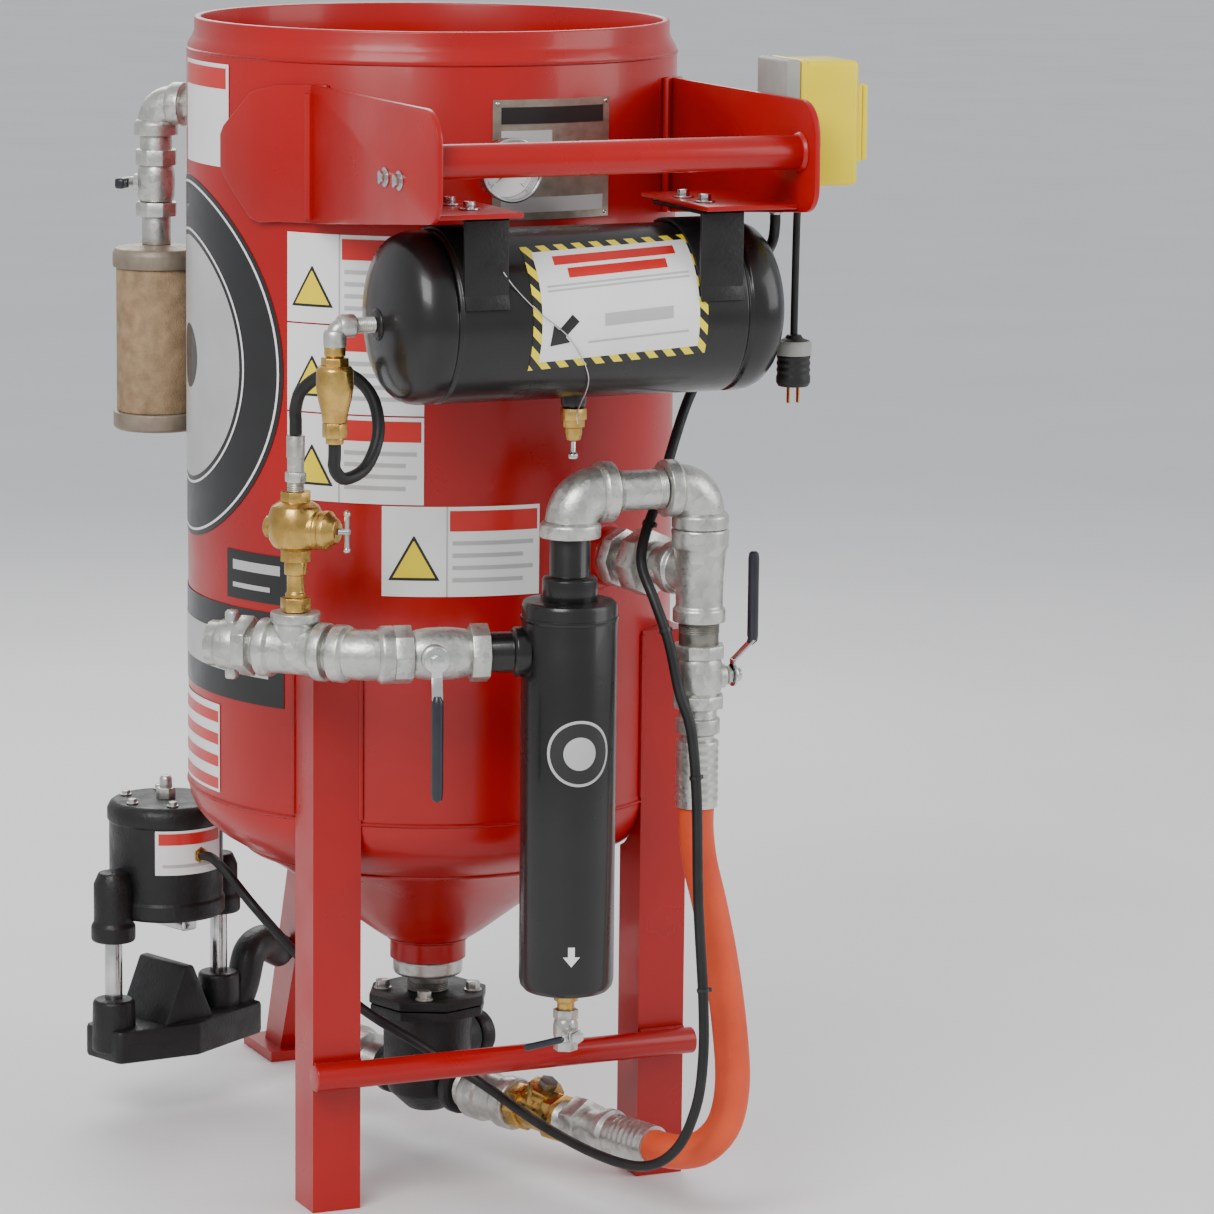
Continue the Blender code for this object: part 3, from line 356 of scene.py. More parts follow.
def glass() -> bpy.types.Material:
    """Clear gauge glass with faint smears in its roughness."""
    graph = Graph("gauge_glass")
    rough = graph.stretch(graph.clouds(40.0), 0.0, 0.06)
    graph.tree.links.new(rough.socket, graph.shader.inputs["Roughness"])
    graph.shader.inputs["Transmission Weight"].default_value = 1.0
    graph.shader.inputs["Alpha"].default_value = 0.12
    return graph.material


# ---- modelling ----------------------------------------------------------------------------------
@dataclass
class Assembly:
    """A sub-assembly, with the modelling steps that all of them share.

    Attributes:
        axis: where the vessel's axis meets the floor in the CAD frame.
        pieces: the names of the pieces finished so far.
    """

    axis: Vector
    pieces: list[str] = field(default_factory=list, init=False, repr=False)

    @staticmethod
    def only(obj: Piece) -> None:
        """Selects obj alone and makes it active."""
        bpy.ops.object.select_all(action="DESELECT")
        obj.select_set(True)
        bpy.context.view_layer.objects.active = obj

    def raw(self, points: Sequence[Point], edges: Sequence[tuple], faces: Sequence[tuple]) -> Piece:
        """A new mesh object, selected alone.

        Args:
            points: its vertices.
            edges: its loose edges, as pairs of indices.
            faces: its faces, as tuples of indices.

        Returns:
            The object, at the origin.
        """
        mesh = bpy.data.meshes.new("raw")
        mesh.from_pydata(points, edges, faces)
        obj = bpy.data.objects.new("raw", mesh)
        bpy.context.scene.collection.objects.link(obj)
        self.only(obj)
        return obj

    @staticmethod
    def edit(*steps: Callable[[], object]) -> None:
        """Shapes the active mesh in edit mode, then turns its faces outwards.

        Args:
            steps: operators to run, each with everything selected.
        """
        bpy.ops.object.mode_set(mode="EDIT")
        for step in (*steps, partial(bpy.ops.mesh.normals_make_consistent, inside=False)):
            bpy.ops.mesh.select_all(action="SELECT")
            step()
        bpy.ops.object.mode_set(mode="OBJECT")

    def soften(self, obj: Piece, width: float, segments: int = 2, angle: float = 28.0) -> None:
        """Rounds obj's sharp edges.

        Args:
            obj: the mesh to round.
            width: the bevel's width. At nought the edges stay sharp.
            segments: steps across the bevel.
            angle: edges sharper than this, in degrees, are rounded.
        """
        if not width:
            return
        self.only(obj)
        bevel = obj.modifiers.new("bevel", "BEVEL")
        bevel.width = width
        bevel.segments = segments
        bevel.limit_method = "ANGLE"
        bevel.angle_limit = math.radians(angle)
        bevel.use_clamp_overlap = True
        bpy.ops.object.modifier_apply(modifier=bevel.name)

    def lathe(self, profile: Profile, place: Matrix | None = None, sides: int = 48, soft: float = 0.0008,
              segments: int = 2) -> Piece:
        """Spins a profile round local Z.

        Args:
            profile: (radius, height) points. One that doesn't start on the axis is a closed ring's section.
            place: where the turned piece goes.
            sides: facets round it.
            soft: the bevel on its corners.
            segments: steps across the bevel.

        Returns:
            The turned mesh object.
        """
        last = len(profile) - 1
        edges = [(i, i + 1) for i in range(last)] + ([(last, 0)] if profile[0][0] > 0 else [])
        obj = self.raw([(radius, 0, height) for radius, height in profile], edges, [])
        self.edit(partial(bpy.ops.mesh.spin, steps=sides, angle=2 * math.pi, center=(0, 0, 0),
                          axis=(0, 0, 1)), partial(bpy.ops.mesh.remove_doubles, threshold=MERGE))
        self.soften(obj, soft, segments)
        return self.placed(obj, place)

    def prism(self, sides: int, radius: float, height: float, place: Matrix, soft: float = 0.0008) -> Piece:
        """A bar of regular section, such as a hexagon, from the placement's origin along local Z.

        Args:
            sides: flats round it.
            radius: from the axis to a corner.
            height: its length.
            place: where it goes.
            soft: the bevel on its edges.

        Returns:
            The bar.
        """
        bpy.ops.mesh.primitive_cylinder_add(vertices=sides, radius=radius, depth=height)
        obj = bpy.context.active_object
        obj.data.transform(shift(0, 0, height / 2))
        self.soften(obj, soft)
        return self.placed(obj, place)

    def box(self, size: Point, place: Matrix, soft: float = 0.0015, segments: int = 3) -> Piece:
        """A block with rounded edges, centred on the placement.

        Args:
            size: its lengths along local X, Y and Z.
            place: where its middle goes.
            soft: the bevel on its edges.
            segments: steps across the bevel.

        Returns:
            The block.
        """
        bpy.ops.mesh.primitive_cube_add(size=1)
        obj = bpy.context.active_object
        obj.data.transform(Matrix.Diagonal((*size, 1)))
        self.soften(obj, soft, segments)
        return self.placed(obj, place)

    def ball(self, radius: float, place: Matrix, squash: float = 1.0) -> Piece:
        """A ball, flattened along local Z by squash."""
        bpy.ops.mesh.primitive_uv_sphere_add(segments=32, ring_count=16, radius=radius)
        obj = bpy.context.active_object
        obj.data.transform(Matrix.Diagonal((1, 1, squash, 1)))
        return self.placed(obj, place)

    def sheet(self, outline: Profile, thickness: float, place: Matrix, soft: float = 0.001) -> Piece:
        """A flat outline extruded along local Z.

        Args:
            outline: the outline's corners in local X and Y.
            thickness: how far it is extruded.
            place: where it goes.
            soft: the bevel on its edges.

        Returns:
            The plate.
        """
        obj = self.raw([(x, y, 0) for x, y in outline], [], [tuple(range(len(outline)))])
        self.edit(partial(bpy.ops.mesh.extrude_region_move,
                          TRANSFORM_OT_translate={"value": (0, 0, thickness)}))
        self.soften(obj, soft)
        return self.placed(obj, place)

    def skin(self, points: Sequence[Vector], faces: Sequence[tuple], thickness: float) -> Piece:
        """A thin layer over the given faces, closed all round.

        Args:
            points: the vertices of its middle surface.
            faces: the faces, as tuples of indices.
            thickness: how thick it is.

        Returns:
            The layer.
        """
        obj = self.raw(points, [], faces)
        thick = obj.modifiers.new("thick", "SOLIDIFY")
        thick.thickness = thickness
        thick.offset = 0
        bpy.ops.object.modifier_apply(modifier=thick.name)
        return obj

    def layer(self, rows: Sequence[Sequence[Vector]], thickness: float, ring: bool = False) -> Piece:
        """A thin layer over rows of points.

        Args:
            rows: the points, row by row, with as many in each.
            thickness: how thick it is.
            ring: whether each row closes on itself.

        Returns:
            The layer.
        """
        width = len(rows[0])
        faces = []
        for a in range(0, width * (len(rows) - 1), width):
            for i in range(width if ring else width - 1):
                j = (i + 1) % width
                faces.append((a + i, a + width + i, a + width + j, a + j))
        return self.skin([point for row in rows for point in row], faces, thickness)

    def tube(self, points: Iterable[Point], radius: float, taper: Sequence[float] | None = None,
             sides: int = 3) -> Piece:
        """A round bar through points, with each point's radius scaled by taper.

        Args:
            points: the points.
            radius: the bar's radius.
            taper: a factor on the radius at each point.
            sides: the bevel resolution.

        Returns:
            The bar.
        """
        obj = self.strand(points, radius, sides, taper)
        self.only(obj)
        bpy.ops.object.convert(target="MESH")
        return bpy.context.active_object

    @staticmethod
    def strand(points: Iterable[Point], radius: float, sides: int = 4,
               taper: Sequence[float] | None = None) -> Piece:
        """A curve object with a round section along one open spline.

        Args:
            points: the spline's points.
            radius: the section's radius.
            sides: the bevel resolution.
            taper: a factor on the radius at each point.

        Returns:
            The curve object.
        """
        route = [Vector(point) for point in points]
        curve = bpy.data.curves.new("strand", "CURVE")
        curve.dimensions = "3D"
        curve.bevel_depth = radius
        curve.bevel_resolution = sides
        curve.use_fill_caps = True
        spline = curve.splines.new("POLY")
        spline.points.add(len(route) - 1)
        for index, (target, point) in enumerate(zip(spline.points, route)):
            target.co = (*point, 1)
            target.radius = taper[index] if taper else 1.0
        obj = bpy.data.objects.new("strand", curve)
        bpy.context.scene.collection.objects.link(obj)
        return obj

    def placed(self, obj: Piece, place: Matrix | None) -> Piece:
        """Moves obj's mesh by place and leaves the object at the origin."""
        if place is not None:
            obj.data.transform(place)
        return obj

    def join(self, parts: Sequence[Piece]) -> Piece:
        """Joins several meshes into the first."""
        self.only(parts[0])
        for part in parts:
            part.select_set(True)
        if len(parts) > 1:
            bpy.ops.object.join()
        return bpy.context.view_layer.objects.active

    def finish(self, name: str, finish: Finish | bpy.types.Material, parts: Piece | Sequence,
               body: str = POT, replaces: Sequence[str] = ()) -> Piece:
        """Names a piece, gives it its finish and puts it on its body.

        Args:
            name: the piece's name.
            finish: its finish, or a material.
            parts: one object, or several to join.
            body: the CAD body that it rides on.
            replaces: the CAD nodes that it stands for.

        Returns:
            The finished piece, in the CAD frame.
        """
        obj = self.join(parts) if isinstance(parts, (list, tuple)) else parts
        obj.name = obj.data.name = name
        obj.data.transform(Matrix.Translation(self.axis))
        obj.data.materials.clear()
        obj.data.materials.append(material(finish) if isinstance(finish, Finish) else finish)
        if obj.type == "MESH":
            self.only(obj)
            bpy.ops.object.shade_smooth_by_angle(angle=math.radians(SMOOTH_BELOW))
        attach(obj, body)
        if replaces:
            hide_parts(*replaces)
        self.pieces.append(name)
        return obj

    def bolt(self, at: Point, axis: Point, across: float = 0.01, height: float = 0.006,
             washer: float = 0.0085) -> list[Piece]:
        """A hexagon head on a washer, standing on a face at a point.

        Args:
            at: the point.
            axis: the face's outward direction.
            across: the head's width over its flats.
            height: the head's height.
            washer: the washer's radius.

        Returns:
            The head and the washer.
        """
        place = along(at, axis)
        head = self.prism(6, across * 0.577, height, place @ shift(0, 0, 0.0015), 0.0005)
        ring = self.prism(28, washer, 0.0018, place, 0.0003)
        return [head, ring]

    def elbow(self, corner: Point, into: Point, out: Point, reach: float, band: float,
              neck: float) -> list[Piece]:
        """A cast pipe elbow with a rounded band at each end.

        Args:
            corner: where the two axes cross.
            into: the heading before the bend.
            out: the heading after it.
            reach: the distance from the corner to each end.
            band: the bands' radius.
            neck: the bend's radius between them.

        Returns:
            Its parts.
        """
        corner, into, out = Vector(corner), Vector(into).normalized(), Vector(out).normalized()
        bend = reach - 0.009
        start, end = corner - into * bend, corner + out * bend
        steps = [i / 18 for i in range(19)]
        arc = [(1 - t) ** 2 * start + 2 * t * (1 - t) * corner + t * t * end for t in steps]
        parts = [self.tube(arc, neck, [1.0 + 0.05 * math.sin(math.pi * t) for t in steps], 10)]
        for origin, axis in ((corner - into * reach, into), (corner + out * reach, -out)):
            parts.append(self.lathe(self.band(band, neck), along(origin, axis), 40, 0.0016, 3))
        return parts

    @staticmethod
    def band(radius: float, neck: float, length: float = 0.015) -> Profile:
        """The section of a fitting's reinforced end, which starts at its mouth."""
        return capped((radius, 0), (radius, length), (neck + 0.001, length + 0.005))

    def threads(self, place: Matrix, radius: float, length: float, pitch: float = 0.0022) -> Piece:
        """A short length of ridged pipe thread along local Z.

        Args:
            place: where it starts.
            radius: the radius at its crests.
            length: its length.
            pitch: the distance between crests.

        Returns:
            The thread.
        """
        profile = [(0.0, 0.0)]
        count = max(2, round(length / pitch))
        for i in range(count):
            base = length * i / count
            profile += [(radius - 0.0009, base), (radius, base + length * 0.5 / count)]
        return self.lathe([*profile, (radius - 0.0009, length), (0, length)], place, 32, 0)

    def lever(self, hub: Point, stem: Point, arm: Point, length: float, crank: float) -> tuple[list, list]:
        """A ball valve's handle: a cranked steel strap with a nut, and a dipped vinyl grip.

        Args:
            hub: the point where the handle meets the stem.
            stem: the stem's outward axis.
            arm: the direction of the grip.
            length: from the stem to the tip.
            crank: how far the grip stands off the hub.

        Returns:
            The metal parts, and the grip's parts.
        """
        hub, stem, arm = Vector(hub), Vector(stem).normalized(), Vector(arm).normalized()
        lift = stem * 0.004
        width = length * 0.055 + 0.004
        metal = [self.prism(6, 0.0085, 0.0075, along(hub + lift, stem)),
                 self.prism(32, width * 1.15, 0.0035, along(hub, stem))]
        knots = [(0.0, 0.0), (0.12, 0.0), (0.28, 1.0), (0.36, 1.0)]
        route = [hub + lift * 0.4 + arm * length * t + stem * crank * k for t, k in knots]
        for first, second in zip(route, route[1:]):
            middle, run = (first + second) / 2, second - first
            metal.append(self.box((width, run.length + 0.003, 0.0032), facing(middle, run.cross(stem), run),
                                  0.0008, 2))
        steps = [0.26, 0.28, 0.31, 0.5, 0.75, 0.94, 0.985, 1.0]
        sizes = [0.62, 0.92, 1.0, 1.0, 0.98, 1.0, 0.85, 0.45]
        level_run = [hub + lift * 0.4 + arm * length * max(t, 0.28) + stem * crank for t in steps]
        level_run[0] = hub + lift * 0.4 + arm * length * 0.25 + stem * crank * 0.85
        grip = self.tube(level_run, width * 0.56, sizes, 8)
        return metal, [grip]


def smooth(points: Sequence[Point], spacing: float) -> list[Vector]:
    """Points about spacing apart on a smooth curve through the given points.

    Args:
        points: what the curve passes through.
        spacing: the distance wanted between points.

    Returns:
        The points along the curve.
    """
    knots = [Vector(point) for point in points]
    ends = [2 * knots[0] - knots[1], *knots, 2 * knots[-1] - knots[-2]]
    dense: list[Vector] = []
    for p0, p1, p2, p3 in zip(ends, ends[1:], ends[2:], ends[3:]):
        for k in range(24):
            t = k / 24
            bend = (2 * p0 - 5 * p1 + 4 * p2 - p3) * t * t + (3 * p1 - p0 - 3 * p2 + p3) * t ** 3
            dense.append((2 * p1 + (p2 - p0) * t + bend) / 2)
    dense.append(knots[-1])
    total = sum((b - a).length for a, b in zip(dense, dense[1:]))
    step = total / max(2, round(total / spacing))
    route, run = [dense[0]], 0.0
    for a, b in zip(dense, dense[1:]):
        run += (b - a).length
        if run >= step * len(route) and (dense[-1] - b).length > step * 0.5:
            route.append(b)
    return [*route, dense[-1]]


def rounded(corners: Sequence[tuple[float, float, float]], steps: int = 8) -> list[Vector]:
    """An outline whose (x, y, radius) corners are turned by arcs.

    Args:
        corners: the corners. One of radius nought stays sharp.
        steps: steps across each arc.

    Returns:
        The outline's points.
    """
    outline = []
    for i, (x, y, radius) in enumerate(corners):
        here = Vector((x, y))
        to_last = (Vector(corners[i - 1][:2]) - here).normalized()
        to_next = (Vector(corners[(i + 1) % len(corners)][:2]) - here).normalized()
        if radius == 0:
            outline.append(here)
            continue
        half = to_last.angle(to_next) / 2
        centre = here + (to_last + to_next).normalized() * radius / math.sin(half)
        start = (here + to_last * radius / math.tan(half) - centre).normalized()
        end = (here + to_next * radius / math.tan(half) - centre).normalized()
        outline += [centre + radius * start.slerp(end, k / steps) for k in range(steps + 1)]
    return outline


def on_shell(angle: float, z: float, out: float = 0.0) -> Vector:
    """A point on the vessel's wall, at an angle in degrees from -Y towards +X."""
    turn = math.radians(angle)
    return Vector((math.sin(turn), -math.cos(turn), 0)) * (SHELL_R + out) + Vector((0, 0, z))


# ---- sub-assemblies -----------------------------------------------------------------------------
@dataclass
class Vessel(Assembly):
    """The pressure vessel with its welds, concave top head and filling valve.

    Attributes:
        sides: the facets round the vessel.
        barrel_top: where the barrel meets the rim.
        dish_low, dish_rise: the top head's lowest height, and how much its edge rises above that.
        port_radius: the filling port's radius.
    """

    sides: int = 144
    barrel_top: float = 1.408
    dish_low: float = 1.335
    dish_rise: float = 0.072
    port_radius: float = 0.062

    def weld(self, name: str, radius: float, z: float, width: float = 0.009, proud: float = 0.0022) -> None:
        """A bead round the vessel.

        Args:
            name: the piece's name.
            radius: the wall's radius there.
            z: the bead's height.
            width: the bead's width along the wall.
            proud: how far it stands off the wall.
        """
        count = 7
        arc = [(radius - 0.003 + (proud + 0.003) * math.sin(math.pi * i / count),
                z + width * (i / count - 0.5)) for i in range(count + 1)]
        ring = self.lathe([(radius - 0.004, z - width / 2), *arc[1:-1], (radius - 0.004, z + width / 2)],
                          None, self.sides, 0)
        self.finish(name, WELD, ring)

    def build_shell(self) -> None:
        """The barrel, rim, bottom head and their seams."""
        inner = SHELL_R - WALL
        barrel = self.lathe(hollow(inner, SHELL_R, SEAM_Z, self.barrel_top), None, self.sides, 0.001)
        port = Vector((RISER_X, SEP_Y, 0)).normalized()
        boss = self.lathe(capped((0.036, 0), (0.036, 0.03), (0.032, 0.033)),
                          along(port * 0.3 + UP * TEE_Z, port), 48)
        fillet = self.lathe(capped((0.043, 0), (0.043, 0.0065), (0.036, 0.012)),
                            along(port * 0.3005 + UP * TEE_Z, port), 48)
        self.finish("shell", RED, [barrel, boss, fillet], replaces=["shell_barrel"])
        rim = self.lathe([(0.284, 1.4083), (SHELL_R, 1.4083), (0.3035, 1.4145), (0.2985, 1.4225),
                          (0.2955, 1.43), (0.2953, RIM_TOP), (0.287, RIM_TOP), (0.287, 1.428)], None,
                         self.sides, 0.0022, 3)
        self.finish("rim", RED, rim, replaces=["top_rim"])
        outer = [(SHELL_R, SEAM_Z - GAP), (0.3045, 0.476), (0.3015, 0.464), (0.295, 0.4505), (0.284, 0.437),
                 (0.268, 0.424), (0.248, 0.4115), (0.232, 0.4025), (0.19, 0.376), (0.118, 0.322),
                 (0.074, 0.2885), (0.06, 0.279), (0.05, 0.2745), (0.0485, 0.268), (0.0485, 0.248),
                 (0.0205, 0.248)]
        lining = [(r - 0.005, z + 0.008) for r, z in reversed(outer[1:11])]
        head = self.lathe([*outer, (0.0205, 0.262), *lining, (inner, SEAM_Z - GAP)], None, self.sides, 0)
        self.finish("lower_head", RED, head, replaces=["bottom_head"])
        self.weld("seam_rim", SHELL_R - 0.001, self.barrel_top)
        self.weld("seam_lower", SHELL_R, SEAM_Z - 0.001)
        self.weld("seam_cone", 0.2335, 0.4035, 0.01, 0.003)
        self.weld("seam_neck", 0.05, 0.2745, 0.008, 0.003)
        bead = [on_shell(118, z, -0.0002) for z in (0.487 + 0.046 * i for i in range(21))]
        self.finish("seam_long", WELD, self.tube(bead, 0.0028))

    def build_head(self) -> None:
        """The concave top head, its port, gasket and pop-up valve."""
        edge, port = SHELL_R - WALL - GAP, self.port_radius
        radii = [port + (edge - port) * i / 14 for i in range(15)]
        dish = [(r, self.dish_low + self.dish_rise * ((r - port) / (edge - port)) ** 1.6) for r in radii]
        head = self.lathe([*dish, *[(r, z - 0.006) for r, z in reversed(dish)]], None, self.sides, 0.0012)
        self.finish("dished_head", RED, head, replaces=["top_head"])
        gasket = self.lathe([(0.043, 1.325), (0.0615, 1.325), (0.0615, 1.339), (0.05, 1.3395),
                             (0.043, 1.335)], None, 72, 0.0015, 3)
        self.finish("port_gasket", RUBBER, gasket, replaces=["fill_gasket"])
        cone = self.lathe([(0, 1.165), (0.0118, 1.165), (0.0118, 1.252), (0.052, 1.262), (0.054, 1.272),
                           (0.03, 1.292), (0.012, 1.2965), (0, 1.298)], None, 72, 0.0015, 3)
        self.finish("pop_up_cone", STEEL, cone, "fill_valve", ["fill_valve"])

    def build(self) -> None:
        """Makes the vessel."""
        self.build_shell()
        self.build_head()


@dataclass
class Stand(Assembly):
    """The legs, crossbar, handle plates and handle bar.

    Attributes:
        nodes: the CAD nodes by name.
        bar_radius, grip_radius: the crossbar's radius and the handle bar's.
        grip_at: the handle bar's Y and Z.
    """

    nodes: dict[str, Piece] = field(repr=False)
    bar_radius: float = 0.0165
    grip_radius: float = 0.02
    grip_at: tuple[float, float] = (-0.571, 1.321)

    def dress_legs(self) -> None:
        """Rounds the corners of the CAD legs and adds the weld runs beside the front ones."""
        for name in ("front_leg_left", "front_leg_right", "rear_leg"):
            leg = self.nodes[name]
            bevel = leg.modifiers.new("bevel", "BEVEL")
            bevel.width = 0.0035
            bevel.segments = 3
            bevel.limit_method = "ANGLE"
            bevel.angle_limit = math.radians(40)
        for side in (-1, 1):
            for edge in (-1, 1):
                x = side * 0.218 + edge * 0.0311
                y = -math.sqrt(SHELL_R ** 2 - x ** 2) - 0.001
                run = [(x, y, z) for z in (0.49 + 0.0205 * i for i in range(11))]
                self.finish(f"leg_weld_{side + 1}{edge + 1}", WELD, self.tube(run, 0.0042))

    def build_bar(self) -> None:
        """The crossbar with weld collars, and the handle bar."""
        half, y, z = 0.2541, -0.2127 - 0.0311 - self.bar_radius - GAP, 0.1756
        bar = self.lathe(solid(self.bar_radius, 0, 2 * half), along((-half, y, z), (1, 0, 0)), 48, 0.002, 3)
        self.finish("lower_bar", RED, bar, replaces=["crossbar"])
        welds = [self.tube([(x - 0.03, y + 0.0145, z + dz), (x + 0.03, y + 0.0145, z + dz)], 0.004)
                 for x in (-0.218, 0.218) for dz in (-0.0125, 0.0125)]
        self.finish("lower_bar_welds", WELD, welds)
        reach = 0.2322
        grip = self.lathe(solid(self.grip_radius, 0, 2 * reach), along((-reach, *self.grip_at), (1, 0, 0)),
                          56, 0.0005)
        rings = [self.lathe([(0, 0), (0.0245, 0), (0.0205, 0.005), (0, 0.005)],
                            along((side * reach, *self.grip_at), (-side, 0, 0)), 56, 0.0012)
                 for side in (-1, 1)]
        self.finish("grip_bar", RED, [grip, *rings], replaces=["handle_bar"])

    def build_plate(self, side: int, name: str) -> None:
        """One handle plate, with its bottom flange and the pad on the shell.

        Args:
            side: -1 for the left plate and 1 for the right.
            name: left or right.
        """
        corners = [(0.206, 1.216, 0), (0.612, 1.254, 0.03), (0.612, 1.382, 0.042), (0.206, 1.382, 0)]
        plate = self.sheet(rounded(corners), 0.007, facing((side * 0.236 + 0.0035, 0, 0), (0, -1, 0)),
                           0.0016)
        flange = self.box((0.118, 0.19, 0.006), shift(side * 0.1745, -0.475, 1.257), 0.0016)
        columns = [(45.5, 1.217, 1.383), (58, 1.215, 1.38), (63.5, 1.212, 1.374), (66.5, 1.217, 1.368),
                   (70.5, 1.238, 1.348), (75.6, 1.264, 1.326), (77, 1.276, 1.314)]
        pad = self.shell_patch([(side * angle, low, high) for angle, low, high in columns], 0.009)
        seam = [(side * 0.2405, -0.2055, 1.222 + i * 0.0125) for i in range(13)]
        fillet = self.tube(seam, 0.0065)
        self.finish(f"handle_cheek_{name}", RED, [plate, flange, pad, fillet],
                    replaces=[f"handle_plate_{name}"])
        if side < 0:
            bolts = []
            for y in (-0.452, -0.497):
                bolts += self.bolt((side * 0.2397, y, 1.294), (side, 0, 0), 0.014, 0.007, 0.0115)
            self.finish(f"handle_bolts_{name}", STEEL, bolts)

    def shell_patch(self, columns: Sequence[tuple[float, float, float]], thickness: float,
                    soft: float = 0.0022) -> Piece:
        """A plate rolled to the shell.

        Args:
            columns: (angle, low, high) at the plate's corners, in degrees and metres.
            thickness: the plate's thickness.
            soft: the bevel on its edges.

        Returns:
            The plate, smooth round the shell.
        """
        outline = []
        for (a0, l0, h0), (a1, l1, h1) in zip(columns, columns[1:]):
            count = max(1, round(abs(a1 - a0) / 1.5))
            outline += [(a0 + (a1 - a0) * k / count, l0 + (l1 - l0) * k / count, h0 + (h1 - h0) * k / count)
                        for k in range(count)]
        outline.append(columns[-1])
        points, faces = [], []
        for angle, low, high in outline:
            for out in (0.0006, thickness):
                points += [on_shell(angle, low, out), on_shell(angle, high, out)]
        for i in range(len(outline) - 1):
            a, b = 4 * i, 4 * i + 4
            faces += [(a, a + 1, b + 1, b), (a + 2, b + 2, b + 3, a + 3), (a, b, b + 2, a + 2),
                      (a + 1, a + 3, b + 3, b + 1)]
        last = 4 * (len(outline) - 1)
        faces += [(0, 2, 3, 1), (last, last + 1, last + 3, last + 2)]
        obj = self.raw(points, [], faces)
        self.edit()
        self.soften(obj, soft, 3, 40.0)
        return obj

    def build(self) -> None:
        """Makes the frame."""
        self.dress_legs()
        self.build_bar()
        for side, name in ((-1, "left"), (1, "right")):
            self.build_plate(side, name)


